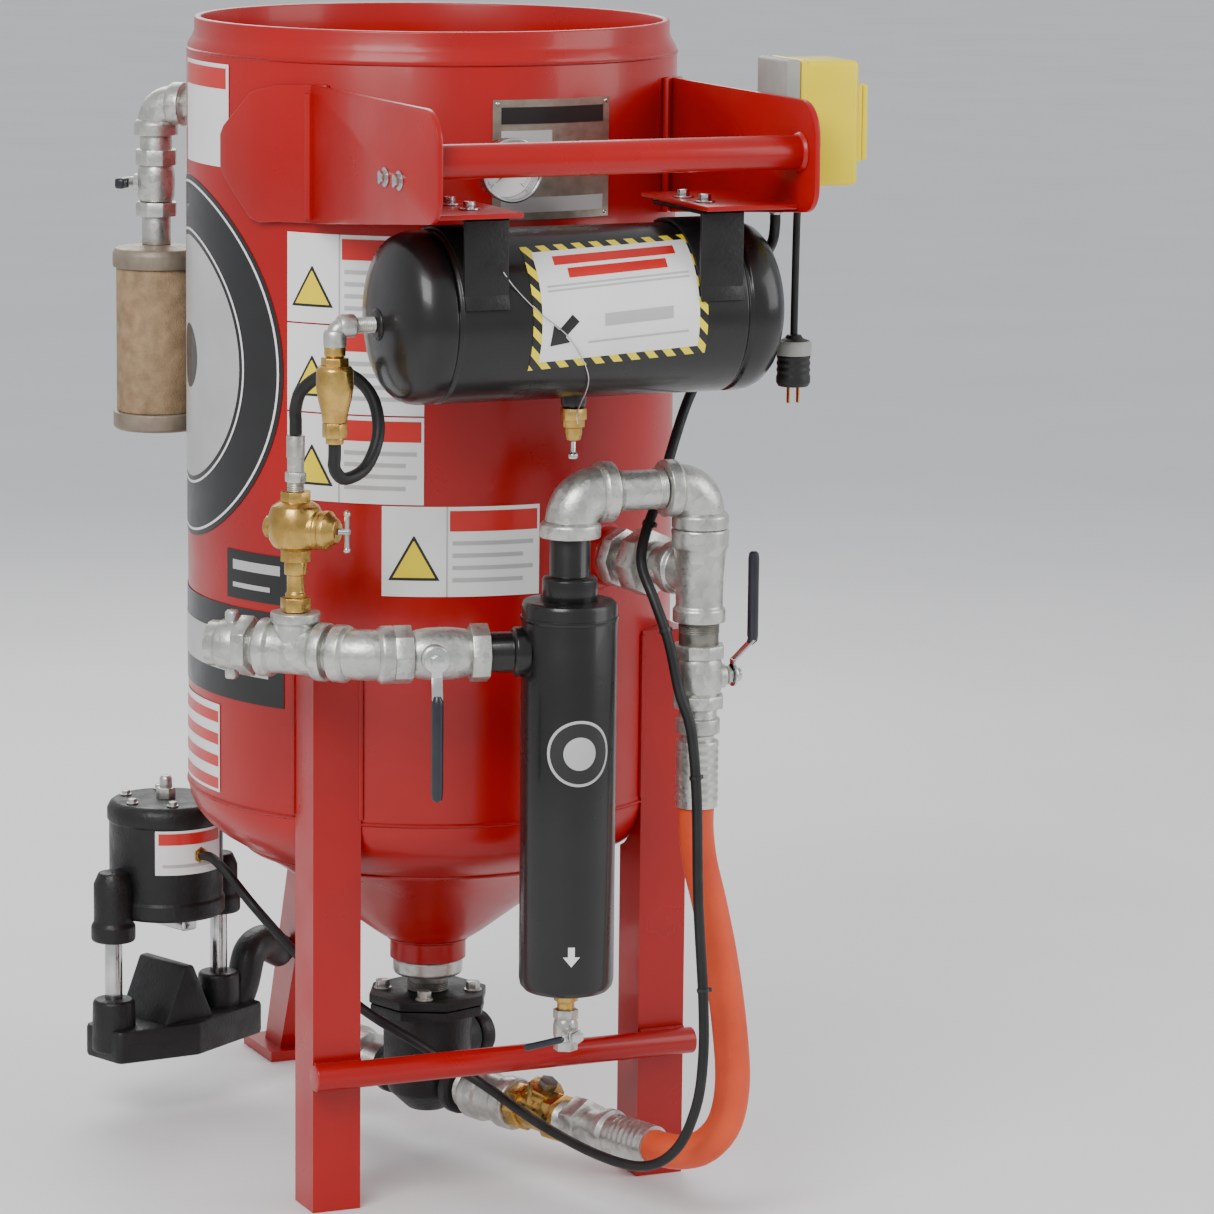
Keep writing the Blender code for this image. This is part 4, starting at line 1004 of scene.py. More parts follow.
@dataclass
class AirTank(Assembly):
    """The small air tank under the handle, with its brackets, label and drain.

    Attributes:
        label_tilt: how far the label is skewed, in degrees round the tank for each metre along it.
    """

    label_tilt: float = -38.0

    def build_body(self) -> None:
        """The tank with its domed ends and rolled beads."""
        r, length = TANK_R, TANK_X1 - TANK_X0
        end = [(0, 0), (0.02, 0.0003), (0.042, 0.0025), (0.062, 0.0065), (0.078, 0.012), (0.089, 0.0185),
               (0.096, 0.0265), (0.1, 0.036), (r, 0.0455), (r, 0.061), (r - 0.0032, 0.064),
               (r - 0.0032, 0.0665), (r, 0.0695)]
        profile = end + [(radius, length - run) for radius, run in reversed(end)]
        place = along((TANK_X0, TANK_Y, TANK_Z), (1, 0, 0))
        tank = self.lathe(profile, place, 112, 0.0012, 3)
        boss = self.lathe(capped((0.0125, 0), (0.015, 0.004), (0.015, 0.02)),
                          along((0.0045, TANK_Y, 1.0142)), 32)
        collar = self.lathe(capped((0.019, 0), (0.019, 0.01), (0.0155, 0.0125)),
                            along((TANK_X0 + 0.009, TANK_Y, 1.122), (-1, 0, 0)), 32)
        self.finish("reserve_tank", BLACK, [tank, boss, collar], replaces=["air_tank"])
        plug = [self.prism(6, 0.0105, 0.008, along((TANK_X1 + 0.012, TANK_Y, TANK_Z), (1, 0, 0))),
                self.threads(along((TANK_X1 - 0.002, TANK_Y, TANK_Z), (1, 0, 0)), 0.0092, 0.014)]
        self.finish("tank_end_plug", BRASS, plug)

    def build_bracket(self, x: float, name: str) -> None:
        """One hanger: a bent plate down to the tank, its top flange and two bolts.

        Args:
            x: the middle of its width.
            name: left or right.
        """
        front, back, top = -0.541, -0.4, 1.2537
        parts = [self.box((0.055, back - front, 0.006), shift(x, (front + back) / 2, top - 0.003)),
                 self.box((0.055, 0.006, 0.092), shift(x, front + 0.003, top - 0.046))]
        saddle = []
        for i in range(15):
            turn = math.radians(-80 + 100 * i / 14)
            saddle.append((math.sin(turn) * (TANK_R + 0.0015), math.cos(turn) * (TANK_R + 0.0015)))
        outer = [(y * (TANK_R + 0.0055) / (TANK_R + 0.0015), z * (TANK_R + 0.0055) / (TANK_R + 0.0015))
                 for y, z in reversed(saddle)]
        parts.append(self.strap(x, saddle, outer))
        self.finish(f"tank_hanger_{name}", CAST, parts, replaces=[f"tank_bracket_{name}"])
        bolts = []
        for y in (-0.515, -0.455):
            bolts += self.bolt((x - 0.012, y, 1.2603), (0, 0, 1), 0.013, 0.008, 0.0125)
        self.finish(f"tank_hanger_bolts_{name}", STEEL, bolts)

    def strap(self, x: float, inner: Profile, outer: Profile) -> Piece:
        """The curved saddle that lies on the tank, 55 mm wide."""
        place = Matrix(((0, 0, 1, x - 0.0275), (1, 0, 0, TANK_Y), (0, 1, 0, TANK_Z), (0, 0, 0, 1)))
        return self.sheet([*inner, *outer], 0.055, place, 0.0008)

    def on_tank(self, x: float, turn: float, out: float) -> Vector:
        """A point on the tank's wall, turn degrees below its crown on the front side."""
        angle = math.radians(turn)
        return Vector((x, TANK_Y - math.sin(angle) * (TANK_R + out),
                       TANK_Z + math.cos(angle) * (TANK_R + out)))

    def wrap(self, x0: float, x1: float, t0: float, t1: float, out: float) -> Piece:
        """A thin sheet wrapped on the tank, between two stations and two angles.

        Args:
            x0, x1: where it starts and ends along the tank.
            t0, t1: its angles below the tank's crown.
            out: how far it stands off the tank.

        Returns:
            The sheet.
        """
        turns = [t0 + (t1 - t0) * i / 24 for i in range(25)]
        rows = [[self.on_tank(x, turn + (x - 0.02) * self.label_tilt, out) for turn in turns]
                for x in (x0, x1)]
        return self.layer(rows, 0.0004)

    def build_label(self) -> None:
        """A plain white label with a striped border, two red bands, a black arrow and ruled lines."""
        x0, x1, t0, t1 = -0.091, 0.131, 30, 119
        self.finish("tank_label_border", HAZARD, self.wrap(x0, x1, t0, t1, 0.0006))
        self.finish("tank_label", WHITE, self.wrap(x0 + 0.011, x1 - 0.011, t0 + 6, t1 - 6, 0.0011))
        bands = [self.wrap(x0 + 0.035, x1 - 0.03, t0 + 11, t0 + 18, 0.0015),
                 self.wrap(x0 + 0.05, x1 - 0.045, t0 + 21, t0 + 28, 0.0015)]
        self.finish("tank_label_bands", SIGNAL, bands)
        lines = [self.wrap(x0 + 0.02, x1 - 0.02, t0 + d, t0 + d + 1.2, 0.0015) for d in (32, 35)]
        lines.append(self.wrap(x0 + 0.09, x1 - 0.045, t0 + 54, t0 + 62, 0.0015))
        lines.append(self.wrap(x0 + 0.07, x1 - 0.025, t0 + 71, t0 + 72.2, 0.0015))
        self.finish("tank_label_lines", FAINT, lines)
        shape = [(0.0, 0.006), (0.024, 0.006), (0.0245, 0.015), (0.034, 0.008), (0.044, 0.0005)]
        tail, tip = Vector((-0.038, 87)), Vector((-0.074, 108))
        arc = math.radians(1) * TANK_R
        run = Vector((tip.x - tail.x, (tip.y - tail.y) * arc)).normalized()
        rows = []
        for off in (i / 2 - 1 for i in range(5)):
            flats = [Vector((tail.x, tail.y * arc)) + run * reach + Vector((-run.y, run.x)) * (half * off)
                     for reach, half in shape]
            rows.append([self.on_tank(flat.x, flat.y / arc, 0.0017) for flat in flats])
        self.finish("tank_label_arrow", INK, self.layer(rows, SKIN))

    def build_drain(self) -> None:
        """The drain valve under the tank, its tip, and the pull wire to the bracket."""
        column = (0.0045, TANK_Y)
        body = [self.prism(6, 0.016, 0.014, along((*column, 0.9995))),
                self.lathe(capped((0.0085, 0.975), (0.0105, 0.983), (0.0105, 0.99), (0.0135, 0.991),
                                  (0.0135, 1.0137)), along((*column, 0)), 32)]
        self.finish("drain_cock", BRASS, body, replaces=["tank_drain_valve"])
        tip = self.lathe([(0, 0.9735), (0.003, 0.9735), (0.003, 0.961), (0.006, 0.958), (0.006, 0.953),
                          (0, 0.952)], along((*column, 0)), 20, 0.0006)
        self.finish("drain_tip", STEEL, tip, "tank_drain_tip", ["tank_drain_stem"])
        start = Vector((-0.13, -0.5435, 1.19))
        route = [start, self.on_tank(-0.112, 66, 0.003), self.on_tank(-0.086, 82, 0.003),
                 self.on_tank(-0.046, 100, 0.004), self.on_tank(-0.012, 130, 0.004),
                 Vector((0.0, TANK_Y - 0.022, 1.012)), Vector((0.0045, TANK_Y - 0.0135, 0.996))]
        self.finish("drain_wire", STEEL, self.tube(smooth(route, 0.006), 0.0008))

    def build(self) -> None:
        """Makes the tank."""
        self.build_body()
        for x, name in ((-0.149, "left"), (0.149, "right")):
            self.build_bracket(x, name)
        self.build_label()
        self.build_drain()


@dataclass
class TankFeed(Assembly):
    """The fittings from the tank's left end down to the looped hose, and the regulator under it."""

    column: tuple[float, float] = (-0.297, -0.44)

    def build_check_valve(self) -> None:
        """A street elbow, a reducer and a tapered check valve."""
        z = 1.122
        corner = (self.column[0], TANK_Y, z)
        bend = self.elbow(corner, (-1, 0, 0), (0, 0, -1), 0.024, 0.0135, 0.0105)
        nipple = self.threads(along((TANK_X0 - 0.001, TANK_Y, z), (-1, 0, 0)), 0.0095, 0.032)
        self.finish("tank_street_elbow", ZINC, [*bend, nipple])
        place = along((*self.column, 0))
        valve = self.lathe(capped((0.0125, 1.099), (0.0125, 1.088), (0.0105, 1.087), (0.0105, 1.084)),
                           place, 32)
        nut = self.prism(6, 0.0165, 0.01, along((*self.column, 1.0755)))
        body = self.lathe(capped((0.018, 1.0765), (0.0215, 1.072), (0.022, 1.052), (0.0195, 1.036),
                                 (0.0155, 1.02), (0.0145, 1.01)), place, 48, 0.0012)
        low = self.prism(6, 0.015, 0.017, along((*self.column, 0.9925)))
        sleeve = self.lathe(solid(0.0105, 0.9935, 0.985), place, 32)
        self.finish("line_check_valve", BRASS, [valve, nut, body, low, sleeve], replaces=["check_valve"])

    def build_regulator(self) -> None:
        """A small brass pressure regulator between the inlet tee and the loop."""
        x, y = TEE_AT.x, TEE_AT.y
        base = INLET_Z + 0.046
        place = along((x, y, 0))
        across = -INLET_B
        centre = Vector((x, y, 0.868))
        parts = [self.prism(6, 0.0185, 0.016, along((x, y, base + 0.001))),
                 self.lathe(capped((0.0125, 0.784), (0.0125, 0.79), (0.0105, 0.792), (0.0105, 0.812),
                                   (0.0135, 0.813), (0.0135, 0.832)), place, 32),
                 self.prism(8, 0.019, 0.014, along((x, y, 0.829))),
                 self.lathe(capped((0.0185, 0.842), (0.027, 0.847), (0.0315, 0.855), (0.0335, 0.868),
                                   (0.0325, 0.884), (0.0285, 0.895), (0.0185, 0.901)), place, 64, 0.0015,
                            3), self.prism(8, 0.019, 0.014, along((x, y, 0.8985))),
                 self.lathe([(0, 0), (0.024, 0), (0.024, 0.03), (0.0225, 0.031), (0.0225, 0.036),
                             (0.0235, 0.037), (0.0235, 0.044), (0.019, 0.047), (0.0135, 0.055), (0, 0.056)],
                            along(centre, across), 48, 0.001)]
        lug = centre - across * 0.02
        parts.append(self.lathe(capped((0.014, 0), (0.014, 0.016), (0.01, 0.019)), along(lug, -across), 32,
                                0.001))
        self.finish("line_regulator", BRASS, parts, replaces=["regulator_body"])
        nipple = [self.threads(along((x, y, 0.912)), 0.0105, 0.012),
                  self.prism(6, 0.013, 0.012, along((x, y, 0.9235))),
                  self.lathe([(0, 0.935), (0.01, 0.935), (0.01, 0.952), (0.011, 0.953), (0.011, 0.979),
                              (0, 0.98)], place, 32)]
        self.finish("loop_barb", ZINC, nipple)
        tip = centre + across * (0.056 + GAP)
        screw = [self.threads(along(tip, across), 0.0042, 0.014, 0.0015),
                 self.tube([tip + across * 0.0105 - UP * 0.024, tip + across * 0.0105 + UP * 0.024],
                           0.0033)]
        for end in (-1, 1):
            screw.append(self.ball(0.0042, Matrix.Translation(tip + across * 0.0105 + UP * 0.0215 * end)))
        self.finish("regulator_tee_screw", STEEL, screw, "regulator_screw", ["regulator_handle"])

    def build(self) -> None:
        """Makes the feed."""
        self.build_check_valve()
        self.build_regulator()


@dataclass
class Inlet(Assembly):
    """The air inlet: coupling, tee, elbow and shut-off valve, up to the separator."""

    def build_valve(self) -> None:
        """The ball valve with its nuts and hanging handle."""
        line = along(SEPARATOR, INLET_A)
        body = [self.prism(8, 0.0355, 0.022, line @ shift(0, 0, 0.0985), 0.0015),
                self.prism(8, 0.0355, 0.022, line @ shift(0, 0, 0.1905), 0.0015),
                self.lathe(capped((0.026, 0.118), (0.029, 0.126), (0.031, 0.14), (0.0315, 0.155),
                                  (0.031, 0.172), (0.029, 0.184), (0.026, 0.192)), line, 64, 0.001)]
        stem = SEPARATOR + INLET_A * 0.167
        body.append(self.lathe(capped((0.0165, 0), (0.0165, 0.035), (0.013, 0.0375), (0.0105, 0.038),
                                      (0.0105, 0.0455)), along(stem, OUTWARD), 32))
        body.append(self.prism(6, 0.0125, 0.0055, along(stem + OUTWARD * 0.038, OUTWARD)))
        self.finish("inlet_ball_valve", ZINC, body, replaces=["inlet_valve_body"])
        hub = stem + OUTWARD * (0.046 + GAP)
        metal, grip = self.lever(hub, OUTWARD, (0, 0, -1), 0.168, 0.006)
        self.finish("inlet_lever_strap", STEEL, metal, "inlet_lever", ["inlet_valve_lever"])
        self.finish("inlet_lever_grip", GRIP, grip, "inlet_lever")

    def build_elbow(self) -> None:
        """The banded elbow between the two level runs."""
        reach = 0.036
        parts = self.elbow(ELBOW_AT, INLET_A, INLET_B, reach, 0.0345, 0.029)
        parts.append(self.threads(along(ELBOW_AT + INLET_B * 0.034, INLET_B), PIPE_R, 0.012))
        self.finish("inlet_bend", ZINC, parts, replaces=["inlet_elbow"])

    def build_tee(self) -> None:
        """The tee with its branch, a nipple and the claw-less end coupling."""
        run = along(ELBOW_AT, INLET_B)
        parts = [self.lathe(capped((0.035, 0.0445), (0.035, 0.058), (0.03, 0.062), (0.0295, 0.088),
                                   (0.03, 0.114), (0.035, 0.118), (0.035, 0.132)), run, 56, 0.0018, 3),
                 self.lathe(capped((0.0285, 0), (0.0255, 0.026), (0.0265, 0.032), (0.03, 0.035),
                                   (0.03, 0.046)), along(TEE_AT), 48, 0.0018, 3),
                 self.threads(run @ shift(0, 0, 0.13), PIPE_R, 0.014)]
        self.finish("inlet_branch_tee", ZINC, parts, replaces=["inlet_tee"])
        coupling = [self.prism(6, 0.037, 0.018, run @ shift(0, 0, 0.142), 0.0015),
                    self.lathe(capped((0.0285, 0.158), (0.03, 0.162), (0.03, 0.183), (0.0275, 0.186),
                                      (0.0275, 0.199), (0.0225, 0.199), (0.0225, 0.18)), run, 56, 0.0012)]
        self.finish("inlet_coupling", ZINC, coupling)
        centre = ELBOW_AT + INLET_B * 0.172
        lugs = [self.box((0.014, 0.022, 0.016), facing(centre + UP * 0.031 * side, INLET_B, UP), 0.004)
                for side in (-1, 1)]
        self.finish("inlet_coupling_lugs", ZINC, lugs)

    def build(self) -> None:
        """Makes the inlet line."""
        self.build_valve()
        self.build_elbow()
        self.build_tee()


@dataclass
class Separator(Assembly):
    """The moisture separator with its drain, and the pipe over to the riser."""

    def build_body(self) -> None:
        """The separator's tube, neck and side nipple, with a plain round badge and an arrow."""
        r, low, top = 0.05715, 0.305, 0.783
        tube = self.lathe(capped((0.04, low), (0.05, low + 0.003), (0.0555, low + 0.009), (r, low + 0.017),
                                 (r, top - 0.006), (r - 0.002, top - 0.001), (r - 0.006, top),
                                 (0.0275, top)), along((SEP_X, SEP_Y, 0)), 96, 0.001)
        neck = self.lathe(capped((0.033, top - 0.002), (0.033, top + 0.026), (0.03, top + 0.029),
                                 (PIPE_R, top + 0.03), (PIPE_R, 0.862)), along((SEP_X, SEP_Y, 0)), 64)
        stub = self.lathe(capped((0.03, 0.05), (0.03, 0.066), (0.0275, 0.069), (PIPE_R, 0.07),
                                 (PIPE_R, 0.0985)), along(SEPARATOR, INLET_A), 56)
        self.finish("moisture_separator", BLACK, [tube, neck, stub], replaces=["separator"])
        z = 0.762
        seam = self.lathe([(0.05, z - 0.004), (r + 0.0012, z - 0.0025), (r + 0.0018, z),
                           (r + 0.0012, z + 0.0025), (0.05, z + 0.004)], along((SEP_X, SEP_Y, 0)), 96, 0)
        self.finish("separator_seam", BLACK, seam)
        self.badge("separator_badge", FAINT, 0.6075, 0.04, 0.0005)
        self.badge("separator_badge_rim", INK, 0.6075, 0.0365, 0.0009)
        self.badge("separator_badge_core", FAINT, 0.6075, 0.02, 0.0013)
        shape = [(-0.004, 0), (0.004, 0), (0.004, -0.012), (0.01, -0.012), (0, -0.024), (-0.01, -0.012),
                 (-0.004, -0.012)]
        front = Vector((-0.3, -0.954, 0)).normalized()
        place = facing(Vector((SEP_X, SEP_Y, 0.372)) + front * (r - 0.0004), front.cross(UP) * -1)
        arrow = self.sheet(shape, 0.0013, place, 0)
        self.finish("separator_arrow", WHITE, arrow)

    def badge(self, name: str, finish: Finish, z: float, radius: float, layer: float) -> None:
        """A thin round badge bent round the separator's front.

        Args:
            name: the piece's name.
            finish: its finish.
            z: its middle's height.
            radius: its radius.
            layer: how far it stands off the tube.
        """
        front = math.atan2(-0.954, -0.16)
        reach = 0.05715 + layer
        rings, sides = 6, 48
        points = [self.bent(front, 0, z, reach)]
        faces = []
        for k in range(1, rings + 1):
            for i in range(sides):
                turn = 2 * math.pi * i / sides
                across, rise = radius * k / rings * math.cos(turn), radius * k / rings * math.sin(turn)
                points.append(self.bent(front, across, z + rise, reach))
        for i in range(sides):
            j = (i + 1) % sides
            faces.append((0, 1 + i, 1 + j))
            for k in range(rings - 1):
                a, b = 1 + k * sides, 1 + (k + 1) * sides
                faces.append((a + i, b + i, b + j, a + j))
        self.finish(name, finish, self.skin(points, faces, 0.0003))

    @staticmethod
    def bent(front: float, across: float, z: float, reach: float) -> Vector:
        """A point on the separator's wall, across metres round from its front."""
        turn = front + across / reach
        return Vector((SEP_X + math.cos(turn) * reach, SEP_Y + math.sin(turn) * reach, z))

    def build_drain(self) -> None:
        """The drain: a brass bushing, a small ball valve and its short handle."""
        column = (SEP_X, SEP_Y)
        brass = [self.prism(6, 0.015, 0.012, along((*column, 0.2925))),
                 self.lathe(solid(0.0105, 0.2815, 0.2935), along((*column, 0)), 28)]
        self.finish("separator_drain_bush", BRASS, brass)
        body = [self.prism(6, 0.0155, 0.012, along((*column, 0.2705))),
                self.lathe(capped((0.013, 0.244), (0.015, 0.25), (0.015, 0.264), (0.013, 0.271)),
                           along((*column, 0)), 36, 0.001),
                self.prism(6, 0.015, 0.013, along((*column, 0.232))),
                self.lathe(capped((0.0075, 0), (0.0075, 0.022), (0.005, 0.026)),
                           along((*column, 0.256), (0, -1, 0)), 24)]
        self.finish("separator_drain_cock", ZINC, body, replaces=["drain_valve_body"])
        hub = (SEP_X, SEP_Y - 0.026 - GAP, 0.256)
        metal, grip = self.lever(hub, (0, -1, 0), (-1, 0, -0.12), 0.068, 0.004)
        self.finish("separator_drain_strap", STEEL, metal, "drain_lever", ["drain_valve_lever"])
        self.finish("separator_drain_grip", GRIP, grip, "drain_lever")

    def build_crossover(self) -> None:
        """Two banded elbows and the pipe between them."""
        left = self.elbow((SEP_X, SEP_Y, CROSS_Z), (0, 0, 1), (1, 0, 0), 0.052, 0.0365, 0.0305)
        mouth = self.threads(along((SEP_X, SEP_Y, CROSS_Z - 0.06)), PIPE_R, 0.01)
        self.finish("over_elbow_left", ZINC, [*left, mouth], replaces=["crossover_elbow_left"])
        pipe = [self.lathe(solid(PIPE_R, 0, 0.066), along((SEP_X + 0.052, SEP_Y, CROSS_Z), (1, 0, 0)), 56,
                           0), self.threads(along((SEP_X + 0.0525, SEP_Y, CROSS_Z), (1, 0, 0)),
                                            PIPE_R + 0.0008, 0.01),
                self.threads(along((RISER_X - 0.0615, SEP_Y, CROSS_Z), (1, 0, 0)), PIPE_R + 0.0008, 0.01)]
        self.finish("over_pipe", ZINC, pipe)
        right = self.elbow((RISER_X, SEP_Y, CROSS_Z), (1, 0, 0), (0, 0, -1), 0.05, 0.0345, 0.029)
        self.finish("over_elbow_right", ZINC, right, replaces=["crossover_elbow_right"])

    def build(self) -> None:
        """Makes the separator and the crossover."""
        self.build_body()
        self.build_drain()
        self.build_crossover()


@dataclass
class Riser(Assembly):
    """The pipe down from the crossover to the blast-air hose, with the choke valve."""

    def build_tee(self) -> None:
        """The long tee, and the union that joins its side to the vessel."""
        column = along((RISER_X, SEP_Y, 0))
        tee = [self.lathe(capped((0.032, 0.747), (0.032, 0.762), (0.0285, 0.766), (0.029, 0.8),
                                 (0.0315, 0.833), (0.0345, 0.838), (0.035, 0.858), (0.0335, 0.8605)),
                          column, 64, 0.0014, 3)]
        port = Vector((RISER_X, SEP_Y, 0)).normalized()
        centre = Vector((RISER_X, SEP_Y, TEE_Z))
        tee.append(self.lathe(capped((0.027, 0), (0.027, 0.032), (0.032, 0.035), (0.032, 0.048)),
                              along(centre, -port), 56, 0.0014, 3))
        self.finish("riser_long_tee", ZINC, tee, replaces=["riser_tee"])
        axis = along(UP * TEE_Z, port)
        end = math.hypot(RISER_X, SEP_Y) - 0.048
        union = [self.prism(8, 0.0375, 0.016, axis @ shift(0, 0, 0.3335), 0.0015),
                 self.lathe(solid(0.0275, 0.345, 0.374), axis, 48),
                 self.prism(8, 0.0415, 0.026, axis @ shift(0, 0, 0.368), 0.002),
                 self.lathe(capped((0.028, 0.39), (0.028, 0.404), (PIPE_R, 0.407), (PIPE_R, end)), axis,
                            48)]
        self.finish("side_port_union", ZINC, union, replaces=["port_union"])

    def build_choke(self) -> None:
        """The choke valve with its upright handle."""
        column = along((RISER_X, SEP_Y, 0))
        nipple = self.lathe(solid(PIPE_R, 0.718, 0.7467), column, 48)
        ridges = self.threads(along((RISER_X, SEP_Y, 0.733)), PIPE_R + 0.0008, 0.013)
        self.finish("riser_nipple", DULL, [nipple, ridges])
        body = [self.prism(8, 0.0325, 0.016, along((RISER_X, SEP_Y, 0.703)), 0.0015),
                self.lathe(capped((0.026, 0.656), (0.0285, 0.664), (0.029, 0.68), (0.0285, 0.696),
                                  (0.0265, 0.704)), column, 56, 0.001),
                self.prism(8, 0.0325, 0.016, along((RISER_X, SEP_Y, 0.6415)), 0.0015),
                self.lathe(capped((0.015, 0), (0.015, 0.033), (0.011, 0.036), (0.009, 0.0365),
                                  (0.009, 0.0435)), along((RISER_X, SEP_Y, 0.678), (1, 0, 0)), 32),
                self.prism(6, 0.012, 0.005, along((RISER_X + 0.037, SEP_Y, 0.678), (1, 0, 0)))]
        self.finish("choke_ball_valve", ZINC, body, replaces=["choke_valve_body"])
        hub = (RISER_X + 0.044 + GAP, SEP_Y, 0.678)
        metal, grip = self.lever(hub, (1, 0, 0), (0, 0, 1), 0.15, 0.026)
        self.finish("choke_strap", STEEL, metal, "choke_lever", ["choke_valve_lever"])
        self.finish("choke_grip", GRIP, grip, "choke_lever")

    def build_fitting(self) -> None:
        """The hose stem and its crimped ferrule."""
        column = along((RISER_X, SEP_Y, 0))
        stem = self.lathe(capped((0.023, 0.6407), (0.023, 0.63), (0.027, 0.628), (0.027, 0.611),
                                 (0.0205, 0.608), (0.0205, 0.598)), column, 48)
        profile = [(0, 0.601), (0.0255, 0.601)]
        for i in range(8):
            z = 0.596 - i * 0.0095
            profile += [(0.0262, z), (0.025, z - 0.0045)]
        ferrule = self.lathe([*profile, (0.0255, 0.5195), (0, 0.5195)], column, 48, 0.0006)
        self.finish("hose_stem_top", ZINC, [stem, ferrule], replaces=["hose_fitting"])

    def build(self) -> None:
        """Makes the riser."""
        self.build_tee()
        self.build_choke()
        self.build_fitting()


@dataclass
class MeteringValve(Assembly):
    """The abrasive metering valve under the cone, and the air line through it."""

    def build_outlet(self) -> None:
        """The ring nut and pipe nipple between the vessel and the valve."""
        nut = self.lathe([(0.0205, 0.2475), (0.0425, 0.2475), (0.0445, 0.244), (0.0445, 0.23),
                          (0.042, 0.2262), (0.0205, 0.2262)], None, 64, 0.0015, 3)
        self.finish("outlet_ring", ZINC, nut, replaces=["outlet_nipple"])
        pipe = self.lathe(hollow(0.0205, 0.0262, 0.2262, 0.2043), None, 56)
        ridges = self.threads(along((0, 0, 0.2045)), 0.0268, 0.012)
        self.finish("outlet_pipe", DULL, [pipe, ridges])

    def build_body(self) -> None:
        """The eight-sided cover flange on the tapering body, with its bolts and ports."""
        turn = math.atan2(PUSH.y, PUSH.x) + math.radians(22.5)
        parts = [self.prism(8, 0.079, 0.0125, along((0, 0, 0.1912), (0, 0, 1), turn), 0.002),
                 self.prism(8, 0.077, 0.0125, along((0, 0, 0.177), (0, 0, 1), turn), 0.002),
                 self.lathe([(0, 0.178), (0.06, 0.178), (0.057, 0.165), (0.056, 0.095), (0.05, 0.072),
                             (0.024, 0.048), (0, 0.047)], None, 64, 0.003, 3)]
        level_z = Vector((0, 0, PUSH_Z))
        side = Vector((-PUSH.y, PUSH.x, 0))
        port = capped((0.031, 0), (0.0335, 0.004), (0.0335, 0.016), (0.029, 0.02))
        for way in (-1, 1):
            parts.append(self.lathe(port, along(level_z + PUSH * way * 0.075, -PUSH * way), 48, 0.0015, 3))
        ram = Vector((0, 0, 0.132))
        parts.append(self.lathe(hollow(0.0186, 0.028, 0, 0.07), along(ram, side), 48, 0.0015, 3))
        self.finish("metering_housing", CAST, parts, replaces=["metering_valve_body"])
        bolts = []
        for i in range(4):
            angle = turn + math.radians(45 * (2 * i) + 22.5)
            spot = Vector((math.cos(angle), math.sin(angle), 0)) * 0.058
            bolts += self.bolt(spot + UP * 0.2037, (0, 0, 1), 0.016, 0.01, 0.0115)
        self.finish("metering_cover_bolts", ZINC, bolts)
        cap = self.lathe([(0, 0.086), (0.019, 0.086), (0.019, 0.0703), (0.0285, 0.0703), (0.03, 0.074),
                          (0.03, 0.09), (0.027, 0.0935), (0, 0.094)], along(ram, side), 48, 0.0012, 3)
        self.finish("metering_end_cap", CAST, cap, replaces=["metering_cap"])
        ram_rod = self.lathe(solid(0.017, -0.02, 0.066), along(ram, side), 40)
        self.finish("metering_ram_rod", STEEL, ram_rod, "metering_ram", ["metering_plunger"])

    def build_push_line(self) -> None:
        """Coupling, brass wye and hose stem, in line under the vessel."""
        line = along((0, 0, PUSH_Z), PUSH)
        zinc = [self.threads(line @ shift(0, 0, 0.0755), 0.0245, 0.018),
                self.lathe(capped((0.032, 0.092), (0.0335, 0.096), (0.0335, 0.118), (0.03, 0.124),
                                  (0.0295, 0.15), (0.0335, 0.155), (0.0335, 0.172), (0.032, 0.176)), line,
                           56, 0.0012)]
        self.finish("push_coupling", ZINC, zinc)
        start = Vector((0, 0, PUSH_Z)) + PUSH * 0.215
        rise = (PUSH * 0.45 + UP).normalized()
        wye = [self.prism(8, 0.03, 0.02, line @ shift(0, 0, 0.177), 0.0015),
               self.lathe(capped((0.025, 0.195), (0.024, 0.21), (0.025, 0.246)), line, 48),
               self.prism(8, 0.0315, 0.02, line @ shift(0, 0, 0.244), 0.0015),
               self.lathe([(0, 0), (0.0215, 0), (0.0205, 0.036), (0, 0.036)], along(start, rise), 40),
               self.prism(8, 0.0235, 0.014, along(start + rise * 0.024, rise), 0.0012)]
        self.finish("push_wye", BRASS, wye, replaces=["push_line"])
        plug = self.prism(6, 0.0125, 0.01, along(start + rise * 0.038, rise))
        self.finish("push_wye_plug", DULL, plug)
        rib = []
        for i in range(7):
            s = 0.362 + i * 0.009
            rib += [(0.0262, s), (0.025, s + 0.0045)]
        stem = [self.threads(line @ shift(0, 0, 0.264), 0.0242, 0.018),
                self.prism(6, 0.035, 0.024, line @ shift(0, 0, 0.284), 0.0015),
                self.lathe(capped((0.0265, 0.306), (0.0265, 0.338), (0.03, 0.341), (0.03, 0.352),
                                  (0.0255, 0.356), *rib, (0.0255, 0.4275)), line, 56, 0.0006)]
        self.finish("push_hose_stem", ZINC, stem)

    def build_blast_outlet(self) -> None:
        """The outlet on the far side, with a two-lug quick coupling."""
        back = along((0, 0, PUSH_Z), -PUSH)
        parts = [self.threads(back @ shift(0, 0, 0.0755), 0.0242, 0.036),
                 self.prism(8, 0.0375, 0.02, back @ shift(0, 0, 0.112), 0.0015),
                 self.lathe(capped((0.033, 0.13), (0.04, 0.137), (0.04, 0.157), (0.03, 0.161),
                                   (0.03, 0.172), (0.02, 0.172), (0.02, 0.16)), back, 56, 0.0015, 3)]
        for side in (-1, 1):
            parts.append(self.box((0.018, 0.014, 0.026), back @ shift(side * 0.04, 0, 0.151), 0.004))
        self.finish("blast_coupling", ZINC, parts, replaces=["blast_outlet"])

